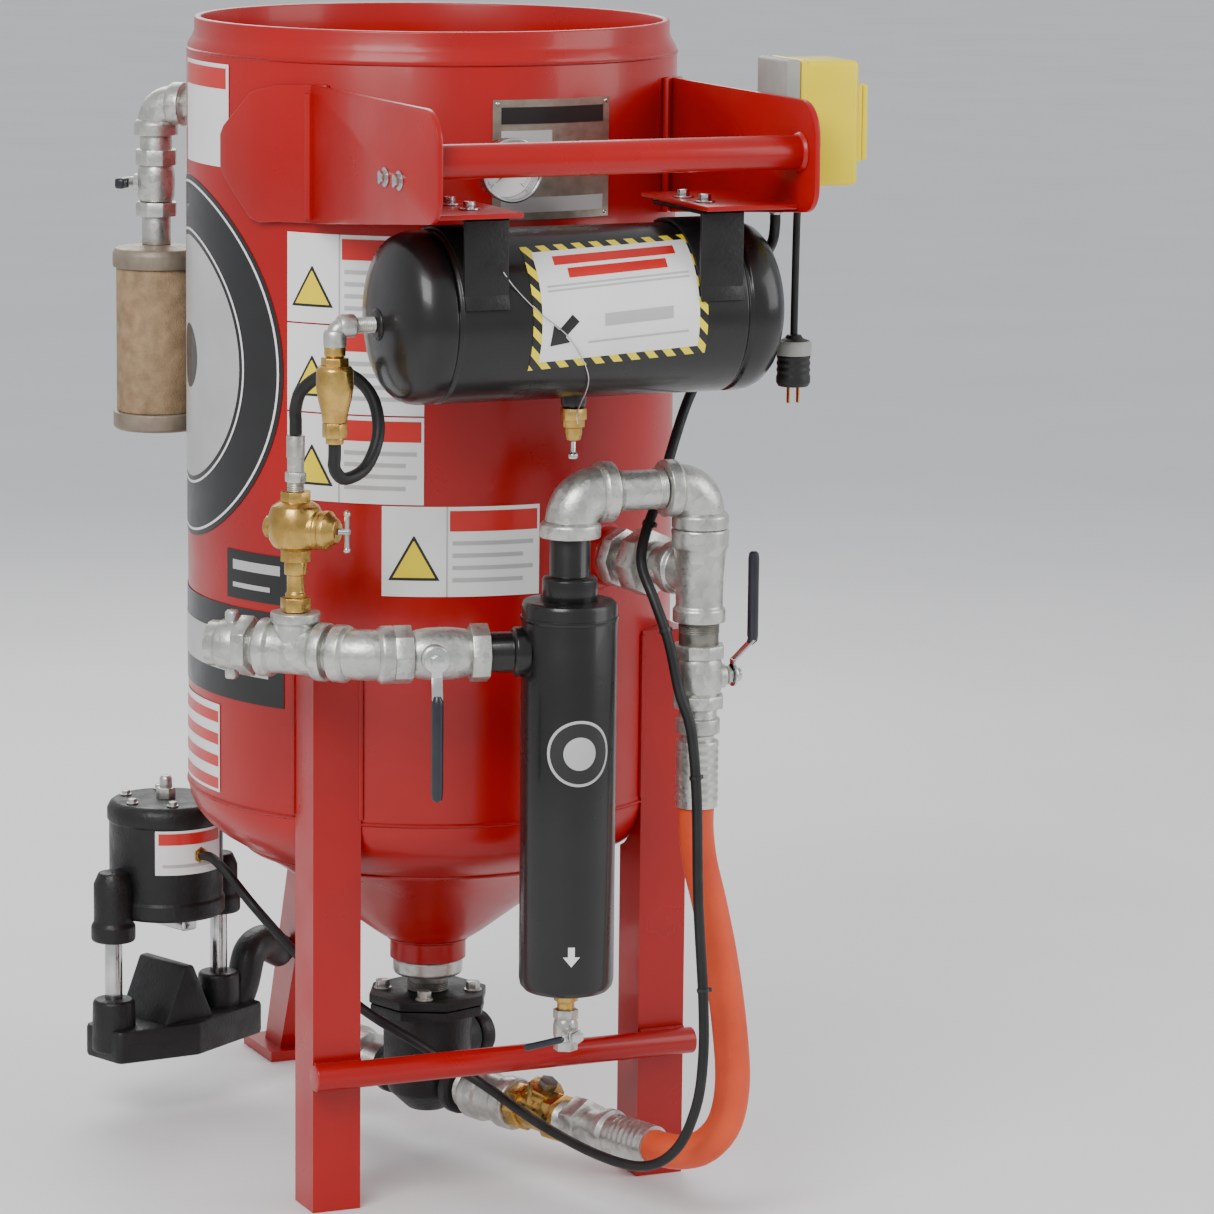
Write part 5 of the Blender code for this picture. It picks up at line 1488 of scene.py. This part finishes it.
    def build(self) -> None:
        """Makes the metering valve and its air line."""
        self.build_outlet()
        self.build_body()
        self.build_push_line()
        self.build_blast_outlet()


@dataclass
class Exhaust(Assembly):
    """The blow-down line on the left: nipple, elbow, valve and its sintered muffler."""

    heading: Vector = field(default_factory=lambda: level(42.8))
    reach: float = 0.375
    port_z: float = 1.326

    def build_line(self) -> None:
        """The nipple out of the shell and the elbow that turns it down."""
        corner = self.heading * self.reach + UP * self.port_z
        pipe = self.lathe(solid(0.0205, 0.303, 0.336), along(UP * self.port_z, self.heading), 48)
        parts = [pipe, *self.elbow(corner, self.heading, (0, 0, -1), 0.04, 0.028, 0.0235)]
        self.finish("blowdown_elbow", ZINC, parts, replaces=["exhaust_elbow"])
        boss = self.lathe(capped((0.029, 0.3005), (0.029, 0.312), (0.0245, 0.316)),
                          along(UP * self.port_z, self.heading), 48)
        self.finish("blowdown_boss", RED, boss)

    def build_valve(self) -> None:
        """The ball valve, with its nuts, stem and small handle."""
        foot = self.heading * self.reach
        column = along(foot)
        body = [self.lathe(solid(0.0205, 1.245, 1.2857), column, 48),
                self.prism(8, 0.0275, 0.02, along(foot + UP * 1.248), 0.0014),
                self.lathe(capped((0.0215, 1.202), (0.0235, 1.21), (0.024, 1.224), (0.0235, 1.24),
                                  (0.0215, 1.249)), column, 48, 0.001),
                self.prism(8, 0.0275, 0.018, along(foot + UP * 1.183), 0.0014),
                self.lathe(solid(0.0185, 1.147, 1.184), column, 48),
                self.lathe(capped((0.012, 0), (0.012, 0.028), (0.008, 0.03), (0.008, 0.0357)),
                           along(foot + UP * 1.224, self.heading), 32)]
        self.finish("blowdown_valve", ZINC, body, replaces=["exhaust_valve_body"])
        tip = foot + UP * 1.224 + self.heading * 0.0363
        side = self.heading.cross(UP)
        wing = [self.sheet(rounded([(-0.023, -0.007, 0.004), (0.023, -0.007, 0.004), (0.023, 0.007, 0.004),
                                    (-0.023, 0.007, 0.004)], 4), 0.012, facing(tip, side * -1), 0.003),
                self.prism(6, 0.0062, 0.003, along(tip + self.heading * 0.011, self.heading), 0.0006)]
        self.finish("blowdown_handle", GRIP, wing, "exhaust_knob", ["exhaust_handle"])

    def build_muffler(self) -> None:
        """The tan element between two dark caps, on a short pipe."""
        column = along(self.heading * self.reach)
        caps = [self.lathe(capped((0.0555, 1.118), (0.056, 1.122), (0.056, 1.136), (0.0525, 1.1425),
                                  (0.026, 1.1467)), column, 80, 0.0015, 3),
                self.lathe(capped((0.052, 0.91), (0.056, 0.914), (0.056, 0.9325), (0.052, 0.9333)), column,
                           80, 0.0015, 3)]
        self.finish("muffler_ends", CAP, caps, replaces=["muffler_caps"])
        body = self.lathe(solid(0.0515, 0.9336, 1.1177), column, 96, 0.0015)
        self.finish("muffler_element", TAN, body, replaces=["muffler_body"])

    def build(self) -> None:
        """Makes the blow-down line."""
        self.build_line()
        self.build_valve()
        self.build_muffler()


@dataclass
class PinchValve(Assembly):
    """The pneumatic pinch valve low at the left rear, with its cylinder and guide rods."""

    rod_half: float = 0.089

    def build_base(self) -> None:
        """The lower casting with its ridge, rod sockets and arm, and the two rods."""
        turn = Matrix.Rotation(math.atan2(RODS.y, RODS.x), 4, "Z")
        across = Vector((RODS.y, -RODS.x, 0))
        plan = rounded([(-0.122, -0.036, 0.012), (-0.01, -0.066, 0.01), (0.128, -0.032, 0.012),
                        (0.128, 0.032, 0.012), (0.01, 0.066, 0.01), (-0.122, 0.036, 0.012)], 6)
        parts = [self.sheet(plan, 0.044, Matrix.Translation(PINCH + RODS * 0.012 + UP * 0.078) @ turn,
                            0.005)]
        ridge = rounded([(-0.05, 0.1, 0), (0.05, 0.1, 0), (0.007, 0.196, 0.006), (-0.007, 0.196, 0.006)], 5)
        parts.append(self.sheet(ridge, 0.096, facing(PINCH - across * 0.048, RODS), 0.003))
        rods = []
        for side, top, low in ((-1, 0.158, 0.236), (1, 0.166, 0.248)):
            at = PINCH + RODS * side * self.rod_half
            parts.append(self.lathe(capped((0.029, 0.09), (0.0275, top - 0.004), (0.0245, top)), along(at),
                                    40, 0.002, 3))
            rods.append(self.lathe(solid(0.0115, top - 0.004, low - GAP), along(at), 36))
        route = smooth([PINCH + RODS * 0.108 + UP * 0.1, Vector((-0.128, 0.346, 0.14)),
                        Vector((-0.114, 0.355, 0.18)), Vector((-0.087, 0.378, 0.188)),
                        Vector((-0.066, 0.4, 0.174)), Vector((-0.05, 0.414, 0.164))], 0.006)
        parts.append(self.tube(route, 0.0225, None, 24))
        self.finish("pinch_floor_casting", CAST, parts, replaces=["pinch_base"])
        self.finish("pinch_guide_rods", STEEL, rods)

    def build_cylinder(self) -> None:
        """The air cylinder, its ears, nuts, inlet fittings and plain badge."""
        place = along(PINCH)
        parts = [self.lathe([(0.0315, 0.262), (0.074, 0.262), (0.077, 0.266), (0.077, 0.283),
                             (0.0745, 0.286), (0.0745, 0.385), (0.077, 0.388), (0.077, 0.402),
                             (0.0735, 0.409), (0.068, 0.413), (0.03, 0.414), (0, 0.414), (0, 0.335),
                             (0.0315, 0.335)], place, 96, 0.001)]
        for side, low in ((-1, 0.236), (1, 0.248)):
            at = PINCH + RODS * side * self.rod_half
            parts.append(self.lathe([(0, low), (0.027, low), (0.029, low + 0.003), (0.029, low + 0.02),
                                     (0.0255, low + 0.026), (0.0255, 0.312), (0.019, 0.327), (0, 0.33)],
                                    along(at), 40, 0.0025, 3))
        self.finish("pinch_air_cylinder", CAST, parts, replaces=["pinch_cylinder"])
        top = PINCH + UP * 0.4138
        heads = [self.prism(6, 0.013, 0.014, along(top)),
                 self.lathe(capped((0.0085, 0.01), (0.0085, 0.026), (0.006, 0.03)), along(top), 28)]
        for i in range(6):
            turn = math.radians(60 * i + 20)
            heads += self.bolt(PINCH + Vector((math.cos(turn), math.sin(turn), 0)) * 0.056 + UP * 0.4138,
                               (0, 0, 1), 0.01, 0.005, 0.0078)
        self.finish("pinch_cover_screws", ZINC, heads)
        at = Vector((-0.2266, 0.2256, 0.35))
        inward = (PINCH - Vector((at.x, at.y, 0))).normalized()
        port = [self.prism(6, 0.011, 0.012, along(at + inward * 0.001, inward)),
                self.lathe(solid(0.0075, 0, 0.004), along(at, inward), 24)]
        self.finish("pinch_air_fitting", BRASS, port)

    def build_badge(self) -> None:
        """A plain white plate on the cylinder's front, with a red band and a ruled line."""
        centre = math.radians(-81)
        for name, finish, half, low, high, out in (("pinch_badge", WHITE, 0.68, 0.326, 0.3845, 0.0004),
                                                   ("pinch_badge_band", SIGNAL, 0.62, 0.366, 0.381, 0.001),
                                                   ("pinch_badge_lines", FAINT, 0.55, 0.336, 0.34, 0.001)):
            rows = []
            for turn in (centre + half * (i / 8 - 1) for i in range(17)):
                wall = PINCH + Vector((math.cos(turn), math.sin(turn), 0)) * (0.0749 + out)
                rows.append([wall + UP * z for z in (low, high)])
            self.finish(name, finish, self.layer(rows, 0.0004))

    def build_jaw(self) -> None:
        """The jaw and its piston."""
        turn = math.atan2(RODS.y, RODS.x)
        jaw = self.box((0.024, 0.1, 0.0178), Matrix.Translation(PINCH + UP * 0.2525) @ Matrix.Rotation(turn,
                                                                                                       4,
                                                                                                       "Z"),
                       0.004)
        piston = self.lathe(solid(0.0305, 0.26, 0.326), along(PINCH), 48)
        self.finish("pinch_jaw", STEEL, [jaw, piston], "pinch_ram", ["pinch_plunger"])

    def build(self) -> None:
        """Makes the pinch valve."""
        self.build_base()
        self.build_cylinder()
        self.build_badge()
        self.build_jaw()


@dataclass
class Gauge(Assembly):
    """The pressure gauge on the shell, facing the handle."""

    at: Vector = field(default_factory=lambda: Vector((-0.05, -0.352, 1.29)))

    def build(self) -> None:
        """Makes the case, dial, ticks, needle and glass."""
        line = along(self.at, (0, -1, 0))
        case = self.lathe([(0, 0.0095), (0.0335, 0.0095), (0.0335, 0.028), (0.035, 0.0305), (0.0385, 0.03),
                           (0.0385, 0.0255), (0.0368, 0.025), (0.0368, 0.003), (0.034, 0.0003), (0, 0)],
                          line, 72, 0.0006)
        self.finish("gauge_cup", STEEL, case, replaces=["gauge_case"])
        stem = [self.lathe(solid(0.008, -0.048, 0.0005), line, 24),
                self.prism(6, 0.011, 0.014, line @ shift(0, 0, -0.03))]
        self.finish("gauge_stem", BRASS, stem)
        dial = self.lathe(solid(0.033, 0.0098, 0.0104), line, 72, 0)
        self.finish("gauge_dial", WHITE, dial)
        ticks = []
        for i in range(41):
            turn = math.radians(-135 + 270 * i / 40)
            long = 0.0055 if i % 5 == 0 else 0.0028
            mid = 0.03 - long / 2
            centre = self.at + Vector((math.sin(turn) * mid, -0.0106, math.cos(turn) * mid))
            out = Vector((math.sin(turn), 0, math.cos(turn)))
            ticks.append(self.box((0.001 if i % 5 == 0 else 0.0006, long, 0.0004),
                                  facing(centre, out.cross(Vector((0, -1, 0))), out), 0))
        self.finish("gauge_ticks", INK, ticks)
        rest = math.radians(-135)
        aim = Vector((math.sin(rest), 0, math.cos(rest)))
        hub = self.lathe([(0, 0.0121), (0.004, 0.0121), (0.004, 0.0158), (0, 0.0161)], line, 24, 0.0003)
        hand = self.sheet([(-0.0011, -0.007), (0.0011, -0.007), (0.0009, 0.012), (0.0002, 0.0225),
                           (-0.0002, 0.0225), (-0.0009, 0.012)], 0.0008,
                          facing(self.at + Vector((0, -0.014, 0)), Vector((0, -1, 0)).cross(aim) * -1, aim),
                          0)
        self.finish("gauge_hand", INK, [hub, hand], "needle", ["gauge_needle"])
        lens = self.lathe([(0, 0.0235), (0.0332, 0.0235), (0.0332, 0.0248), (0, 0.0258)], line, 72, 0)
        self.finish("gauge_lens", glass(), lens)


@dataclass
class ControlBox(Assembly):
    """The yellow control box on the right handle plate, with its lid, cable gland and plug."""

    y0: float = -0.52
    y1: float = -0.435

    def slab(self, x0: float, x1: float, z0: float, z1: float, soft: float, inset: float = 0.0) -> Piece:
        """A rounded block between two x and two z values, as deep as the box less an inset.

        Args:
            x0, x1: its sides.
            z0, z1: its foot and top.
            soft: the bevel on its edges.
            inset: how far its front and back stand in from the box's.

        Returns:
            The block.
        """
        depth = self.y1 - self.y0 - 2 * inset
        place = shift((x0 + x1) / 2, (self.y0 + self.y1) / 2, (z0 + z1) / 2)
        return self.box((x1 - x0, depth, z1 - z0), place, soft, 4)

    def build_case(self) -> None:
        """The grey back, the yellow cover and the lid with its corner screws."""
        back = [self.slab(0.2399, 0.258, 1.272, 1.424, 0.004)]
        self.finish("box_back", GREY, back, replaces=["control_box_back"])
        cover = [self.slab(0.2583, 0.335, 1.274, 1.422, 0.007), self.slab(0.3, 0.343, 1.301, 1.395, 0.005,
                                                                          0.006),
                 self.slab(0.2583, 0.266, 1.272, 1.424, 0.003, -0.001)]
        self.finish("box_cover", YELLOW, cover, replaces=["control_box_cover"])
        screws = []
        for y in (self.y0 + 0.013, self.y1 - 0.013):
            for z in (1.287, 1.409):
                screws.append(self.lathe([(0, 0), (0.0042, 0), (0.0038, 0.0016), (0.0022, 0.0024),
                                          (0, 0.0026)], along((0.335, y, z), (1, 0, 0)), 24, 0.0002))
        self.finish("box_screws", ZINC, screws)
        lid = [self.slab(0.3433, 0.35, 1.303, 1.393, 0.0022, 0.008)]
        self.finish("box_lid_cover", YELLOW, lid, "box_lid", ["control_box_lid"])
        latch = self.box((0.004, 0.014, 0.01), shift(0.351, -0.4775, 1.312), 0.001)
        self.finish("box_lid_latch", INK, latch, "box_lid")

    def build_glands(self) -> None:
        """The hose fitting under the back, and the cable gland under the cover."""
        gland = [self.prism(6, 0.0105, 0.01, along((0.276, -0.478, 1.2637))),
                 self.lathe([(0, 1.256), (0.0068, 1.256), (0.0085, 1.264), (0, 1.264)],
                            along((0.276, -0.478, 0)), 24)]
        self.finish("cable_gland", RUBBER, gland)
        fitting = [self.lathe(solid(0.007, 1.2377, 1.272), along((0.2505, -0.47, 0)), 28),
                   self.prism(6, 0.01, 0.012, along((0.2505, -0.47, 1.24))),
                   self.prism(6, 0.01, 0.008, along((0.2505, -0.47, 1.263)))]
        self.finish("control_hose_fitting", ZINC, fitting)

    def build_plate(self) -> None:
        """The riveted data plate on the shell, with blank etched fields."""
        for name, finish, a0, a1, z0, z1, out in (("data_plate", PLATE, -8.3, 22.2, 1.223, 1.367, 0.001),
                                                  ("data_plate_head", INK, -6.3, 20.2, 1.338, 1.358,
                                                   0.0018), ("data_plate_field", FAINT, -6.3, 6.0, 1.29,
                                                             1.33, 0.0018),
                                                  ("data_plate_field_low", FAINT, -6.3, 20.2, 1.232, 1.25,
                                                   0.0018)):
            angles = [a0 + (a1 - a0) * i / 20 for i in range(21)]
            rows = [[on_shell(angle, z0, out), on_shell(angle, z1, out)] for angle in angles]
            self.finish(name, finish, self.layer(rows, 0.0006))
        rivets = []
        for angle in (-7.2, 21.1):
            for z in (1.228, 1.362):
                at = on_shell(angle, z, 0.0012)
                rivets.append(self.ball(0.0028, along(at, (at.x, at.y, 0)), 0.5))
        self.finish("data_plate_rivets", STEEL, rivets)

    def build(self) -> None:
        """Makes the box and the data plate."""
        self.build_case()
        self.build_glands()
        self.build_plate()


@dataclass
class Cords(Assembly):
    """The four hoses and cables."""


    def run(self, name: str, finish: Finish, route: Sequence[Point], diameter: float, spacing: float,
            replaces: Sequence[str], **facts: object) -> Piece:
        """One cord along its route.

        Args:
            name: the cord's name.
            finish: its finish.
            route: the points that it passes.
            diameter: its thickness.
            spacing: the distance between points along it.
            replaces: the CAD nodes that it stands for.

        Returns:
            The cord.
        """
        line = smooth(route, spacing)
        tube = self.tube(line, diameter / 2, None, 24)
        obj = self.finish(name, finish, tube, replaces=replaces)
        path = [point + self.axis for point in line]
        length = sum((b - a).length for a, b in zip(path, path[1:]))
        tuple(path[0])
        LOG.info("%s is %.0f mm long", name, 1000 * length)
        return obj

    def build_plug(self) -> Piece:
        """The two-blade plug on the hanging cable.

        Returns:
            The plug's body.
        """
        grips = [(0.0205 - 0.0012 * (i % 2), 1.084 - i * 0.004) for i in range(11)]
        plug = self.lathe([(0, 1.094), (0.0085, 1.094), (0.011, 1.09), (0.019, 1.087), *grips,
                           (0.0205, 1.037), (0.018, 1.0325), (0, 1.032)], along((0.274, -0.478, 0)), 56,
                          0.0004)
        return self.finish("plug_body", RUBBER, plug, replaces=["power_plug"])

    def build_blades(self) -> Piece:
        """The plug's two brass blades."""
        blades = [self.box((0.0015, 0.007, 0.022), shift(0.274 + side * 0.0063, -0.478, 1.023), 0.0004)
                  for side in (-1, 1)]
        return self.finish("plug_blades", BRASS, blades)

    def build_collar(self) -> Piece:
        """The pale band round the plug's top."""
        collar = self.lathe([(0.015, 1.07), (0.0215, 1.07), (0.0215, 1.0845), (0.0195, 1.087),
                             (0.015, 1.087)], along((0.274, -0.478, 0)), 48, 0.0006)
        return self.finish("plug_collar", GREY, collar)

    def build(self) -> None:
        """Makes the cords, the plug and the cable ties."""
        self.run("loop_hose", RUBBER, LOOP_ROUTE, 0.015, 0.006, ["air_hose_loop"], far_end="object",
                 stiffness="medium", lay="taut")
        self.run("blast_hose", ORANGE, HOSE_ROUTE, 0.043, 0.01, ["blast_air_hose"], far_end="object",
                 stiffness="stiff", lay="hanging")
        ends = [self.build_plug(), self.build_blades(), self.build_collar()]
        self.run("box_cable", RUBBER, CABLE_ROUTE, 0.009, 0.008, ["power_cable"], far_end="plug",
                 stiffness="medium", lay="hanging", with_pieces=ends)
        self.run("signal_hose", RUBBER, CONTROL_ROUTE, 0.0127, 0.008, ["control_hose"], far_end="object",
                 stiffness="medium", lay="hanging")
        line = smooth(CONTROL_ROUTE, 0.004)
        ties = []
        for z in (0.855, 0.735, 0.56, 0.3):
            near = [i for i in range(1, len(line) - 1) if abs(line[i].z - z) < 0.006]
            at = line[near[0]]
            heading = line[near[0] + 1] - line[near[0] - 1]
            place = along(at, heading)
            ties.append(self.lathe(hollow(0.0064, 0.0076, -0.0022, 0.0022), place, 28, 0))
            ties.append(self.box((0.005, 0.006, 0.005), place @ shift(0.0088, 0, 0), 0.0005))
        self.finish("cable_ties", INK, ties)


@dataclass
class Labels(Assembly):
    """Plain coloured panels where the pot carries its labels, with no lettering.

    Attributes:
        layers: the thin pieces made so far, by finish.
    """

    layers: dict[Finish, list[Piece]] = field(default_factory=dict)

    def rows(self, finish: Finish, rows: Sequence[tuple[float, float, float]], out: float) -> None:
        """A thin area on the shell.

        Args:
            finish: its finish.
            rows: (height, left angle, right angle) from one edge to the other.
            out: how far it stands off the shell.
        """
        count = max(4, round(max(abs(right - left) for _, left, right in rows) / 1.5))
        points = [[on_shell(left + (right - left) * i / count, z, out) for i in range(count + 1)] for z,
                  left, right in rows]
        self.layers.setdefault(finish, []).append(self.layer(points, SKIN))

    def panel(self, finish: Finish, a0: float, a1: float, z0: float, z1: float, out: float) -> None:
        """A rectangle between two angles and two heights."""
        self.rows(finish, [(z0, a0, a1), (z1, a0, a1)], out)

    def ring(self, finish: Finish, angle: float, z: float, inner: float, outer: float, out: float) -> None:
        """A disc or a ring on the shell, round a point.

        Args:
            finish: its finish.
            angle, z: the point.
            inner, outer: its two radii.
            out: how far it stands off the shell.
        """
        steps, sides = 12, 96
        rows = []
        for radius in (inner + (outer - inner) * k / steps for k in range(steps + 1)):
            turns = [2 * math.pi * i / sides for i in range(sides)]
            rows.append([on_shell(angle + math.degrees(radius * math.cos(turn) / SHELL_R),
                                  z + radius * math.sin(turn), out) for turn in turns])
        self.layers.setdefault(finish, []).append(self.layer(rows, SKIN, True))

    def notice(self, a0: float, a1: float, z0: float, z1: float) -> None:
        """One notice: an amber triangle at the left, a red band and ruled lines at the right.

        Args:
            a0, a1: the angles of its sides.
            z0, z1: its foot and top.
        """
        self.panel(WHITE, a0, a1, z0, z1, BASE_LAYER)
        split = a0 + (a1 - a0) * 0.4
        self.panel(FAINT, split, split + 0.35, z0, z1, PRINT_LAYER)
        self.panel(SIGNAL, split + 0.8, a1 - 0.6, z1 - 0.03, z1 - 0.005, PRINT_LAYER)
        for i in range(4):
            top = z1 - 0.042 - i * (z1 - z0 - 0.05) / 4
            self.panel(FAINT, split + 1.4, a1 - 1.6 - 2.5 * (i % 2), top - 0.005, top, PRINT_LAYER)
        middle, half, foot = (a0 + split) / 2, (split - a0) * 0.4, z0 + (z1 - z0) * 0.18
        tall = math.radians(2 * half) * SHELL_R * 0.87
        for finish, size, out in ((INK, 1.0, PRINT_LAYER), (AMBER, 0.82, TOP_LAYER)):
            low = foot + tall * (1 - size) * 0.36
            self.rows(finish, [(low + tall * size * k / 8, middle - half * size * (1 - k / 8.2),
                                middle + half * size * (1 - k / 8.2)) for k in range(9)], out)

    def build(self) -> None:
        """Makes the notices, the round emblem and the plates."""
        for z0, z1 in ((1.096, 1.204), (0.988, 1.094), (0.88, 0.986)):
            self.notice(-56.4, -23.4, z0, z1)
        self.notice(-32.9, 3.7, 0.768, 0.878)
        self.panel(WHITE, -102.0, -75.6, 1.273, 1.398, BASE_LAYER)
        self.panel(SIGNAL, -101.0, -76.6, 1.368, 1.393, PRINT_LAYER)
        self.panel(INK, -76.4, -55.8, 0.746, 0.806, BASE_LAYER)
        self.panel(FAINT, -74.0, -58.5, 0.782, 0.794, PRINT_LAYER)
        self.panel(FAINT, -74.0, -61.5, 0.76, 0.766, PRINT_LAYER)
        self.panel(INK, -118.0, -57.4, 0.618, 0.735, BASE_LAYER)
        self.panel(FAINT, -114.0, -62.0, 0.652, 0.702, PRINT_LAYER)
        self.panel(WHITE, -106.0, -80.0, 0.495, 0.606, BASE_LAYER)
        for i in range(4):
            self.panel(SIGNAL, -106.0, -80.6, 0.499 + i * 0.028, 0.513 + i * 0.028, PRINT_LAYER)
        self.ring(INK, -99.7, 1.03, 0.002, 0.224, BASE_LAYER)
        self.ring(WHITE, -99.7, 1.03, 0.215, 0.218, PRINT_LAYER)
        self.ring(FAINT, -99.7, 1.03, 0.04, 0.15, PRINT_LAYER)
        self.ring(WHITE, -99.7, 1.03, 0.156, 0.159, PRINT_LAYER)
        for finish, pieces in self.layers.items():
            self.finish(f"shell_{finish.name}", finish, pieces)


@dataclass
class Leftovers(Assembly):
    """The red CAD nodes that keep their shape."""

    nodes: dict[str, Piece] = field(repr=False)
    names: tuple[str, ...] = ("front_leg_left", "front_leg_right", "rear_leg", "air_guide_pipe")

    def build(self) -> None:
        """Gives each node its finish."""
        for name in self.names:
            node = self.nodes[name]
            node.data.materials.clear()
            node.data.materials.append(material(RED))
            self.pieces.append(name)


@dataclass
class Studio(Assembly):
    """The pale floor, the soft lights and the camera."""

    eye: tuple[float, float, float] = (-2.4285, -6.0194, 1.8499)
    aim: tuple[float, float, float] = (0.2462, 0.0, 0.6864)
    lens: float = 154.06
    roll: float = 0.6216
    daylight: float = 0.74

    def build_floor(self) -> None:
        """A pale slab that the pot stands on."""
        bpy.ops.mesh.primitive_plane_add(size=60, location=(0, 0, -0.0005))
        floor = bpy.context.object
        floor.name = "studio_floor"
        bpy.ops.object.transform_apply(location=True, rotation=True, scale=True)
        floor.data.materials.append(material(CONCRETE))
        self.pieces.append(floor.name)

    def build_light(self, name: str, at: Point, size: float, power: float) -> None:
        """A square area light aimed at the pot's middle.

        Args:
            name: the lamp's name.
            at: where it hangs.
            size: its side.
            power: its watts.
        """
        lamp = bpy.data.lights.new(name, "AREA")
        lamp.size = size
        lamp.energy = power
        obj = bpy.data.objects.new(name, lamp)
        bpy.context.scene.collection.objects.link(obj)
        obj.matrix_world = looking(Vector(at), Vector((0, 0, 0.7)))

    def build_world(self) -> None:
        """A pale even sky."""
        world = bpy.data.worlds.new("studio")
        world.use_nodes = True
        sky = world.node_tree.nodes["Background"]
        sky.inputs["Color"].default_value = (0.92, 0.94, 0.97, 1)
        sky.inputs["Strength"].default_value = self.daylight
        bpy.context.scene.world = world

    def build_camera(self) -> None:
        """The camera at the pot's left front."""
        eye, aim = Vector(self.eye) + self.axis, Vector(self.aim) + self.axis
        data = bpy.data.cameras.new("camera")
        data.lens, data.sensor_width, data.sensor_fit = self.lens, 36.0, "HORIZONTAL"
        camera = bpy.data.objects.new("camera", data)
        bpy.context.scene.collection.objects.link(camera)
        camera.matrix_world = looking(eye, aim) @ Matrix.Rotation(math.radians(self.roll), 4, "Z")
        bpy.context.scene.camera = camera

    def build(self) -> None:
        """Makes the studio."""
        self.build_floor()
        self.build_world()
        self.build_light("key", (-2.6, -2.6, 3.6), 2.2, 150)
        self.build_light("fill", (3.2, -2.2, 2.2), 2.5, 60)
        self.build_light("back", (0.6, 3.2, 3.0), 2.5, 70)
        self.build_camera()


LOOP_ROUTE = [(-0.297, -0.44, 0.9845), (-0.297, -0.44, 0.97), (-0.297, -0.44, 0.955),
              (-0.281, -0.432, 0.942), (-0.25, -0.42, 0.953), (-0.229, -0.405, 0.99), (-0.231, -0.39, 1.03),
              (-0.252, -0.374, 1.055), (-0.28, -0.356, 1.054), (-0.298, -0.334, 1.034),
              (-0.3008, -0.3209, 1.012), (-0.3008, -0.3209, 0.996), (-0.3008, -0.3209, 0.9805)]
HOSE_ROUTE = [(0.172, -0.44, 0.5186), (0.172, -0.44, 0.49), (0.177, -0.441, 0.45), (0.188, -0.446, 0.4),
              (0.2, -0.455, 0.33), (0.208, -0.466, 0.25), (0.208, -0.478, 0.18), (0.197, -0.48, 0.13),
              (0.176, -0.47, 0.101), (0.158, -0.447, 0.089), (0.1441, -0.4263, 0.087),
              (0.13703, -0.40555, 0.087)]
CABLE_ROUTE = [(0.276, -0.478, 1.2736), (0.276, -0.478, 1.255), (0.2745, -0.479, 1.215),
               (0.274, -0.478, 1.112), (0.274, -0.478, 1.0944)]
CONTROL_ROUTE = [(0.2505, -0.47, 1.2373), (0.2505, -0.47, 1.225), (0.2525, -0.46, 1.205),
                 (0.261, -0.42, 1.18), (0.266, -0.372, 1.14), (0.252, -0.331, 1.09), (0.226, -0.331, 1.043),
                 (0.196, -0.345, 0.998), (0.17, -0.36, 0.945), (0.146, -0.378, 0.893),
                 (0.121, -0.394, 0.85), (0.108, -0.412, 0.815), (0.113, -0.44, 0.775),
                 (0.123, -0.46, 0.728), (0.134, -0.468, 0.668), (0.146, -0.478, 0.62),
                 (0.151, -0.486, 0.536), (0.152, -0.492, 0.415), (0.155, -0.504, 0.293),
                 (0.152, -0.512, 0.222), (0.142, -0.515, 0.164), (0.125, -0.498, 0.11),
                 (0.102, -0.458, 0.08), (0.072, -0.39, 0.078), (0.04, -0.28, 0.092), (0.006, -0.168, 0.12),
                 (-0.052, -0.105, 0.16), (-0.108, -0.06, 0.198), (-0.15, 0.04, 0.24), (-0.18, 0.14, 0.29),
                 (-0.21, 0.176, 0.336), (-0.22, 0.2046, 0.35), (-0.2266, 0.2256, 0.35)]


def main() -> None:
    """Builds the pot, then the studio."""
    logging.basicConfig(level=logging.INFO, format="%(name)s: %(message)s")
    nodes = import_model()["nodes"]
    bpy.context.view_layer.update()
    low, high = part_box("top_rim")
    axis = Vector(((low.x + high.x) / 2, (low.y + high.y) / 2, 0))
    for assembly in (Vessel(axis), Stand(axis, nodes), AirTank(axis), TankFeed(axis), Inlet(axis),
                     Separator(axis), Riser(axis), MeteringValve(axis), Exhaust(axis), PinchValve(axis),
                     Gauge(axis), ControlBox(axis), Cords(axis), Labels(axis), Leftovers(axis, nodes),
                     Studio(axis)):
        assembly.build()
        for piece in assembly.pieces:
            LOG.info("%s: %s", type(assembly).__name__, piece)


if __name__ == "__main__":
    main()
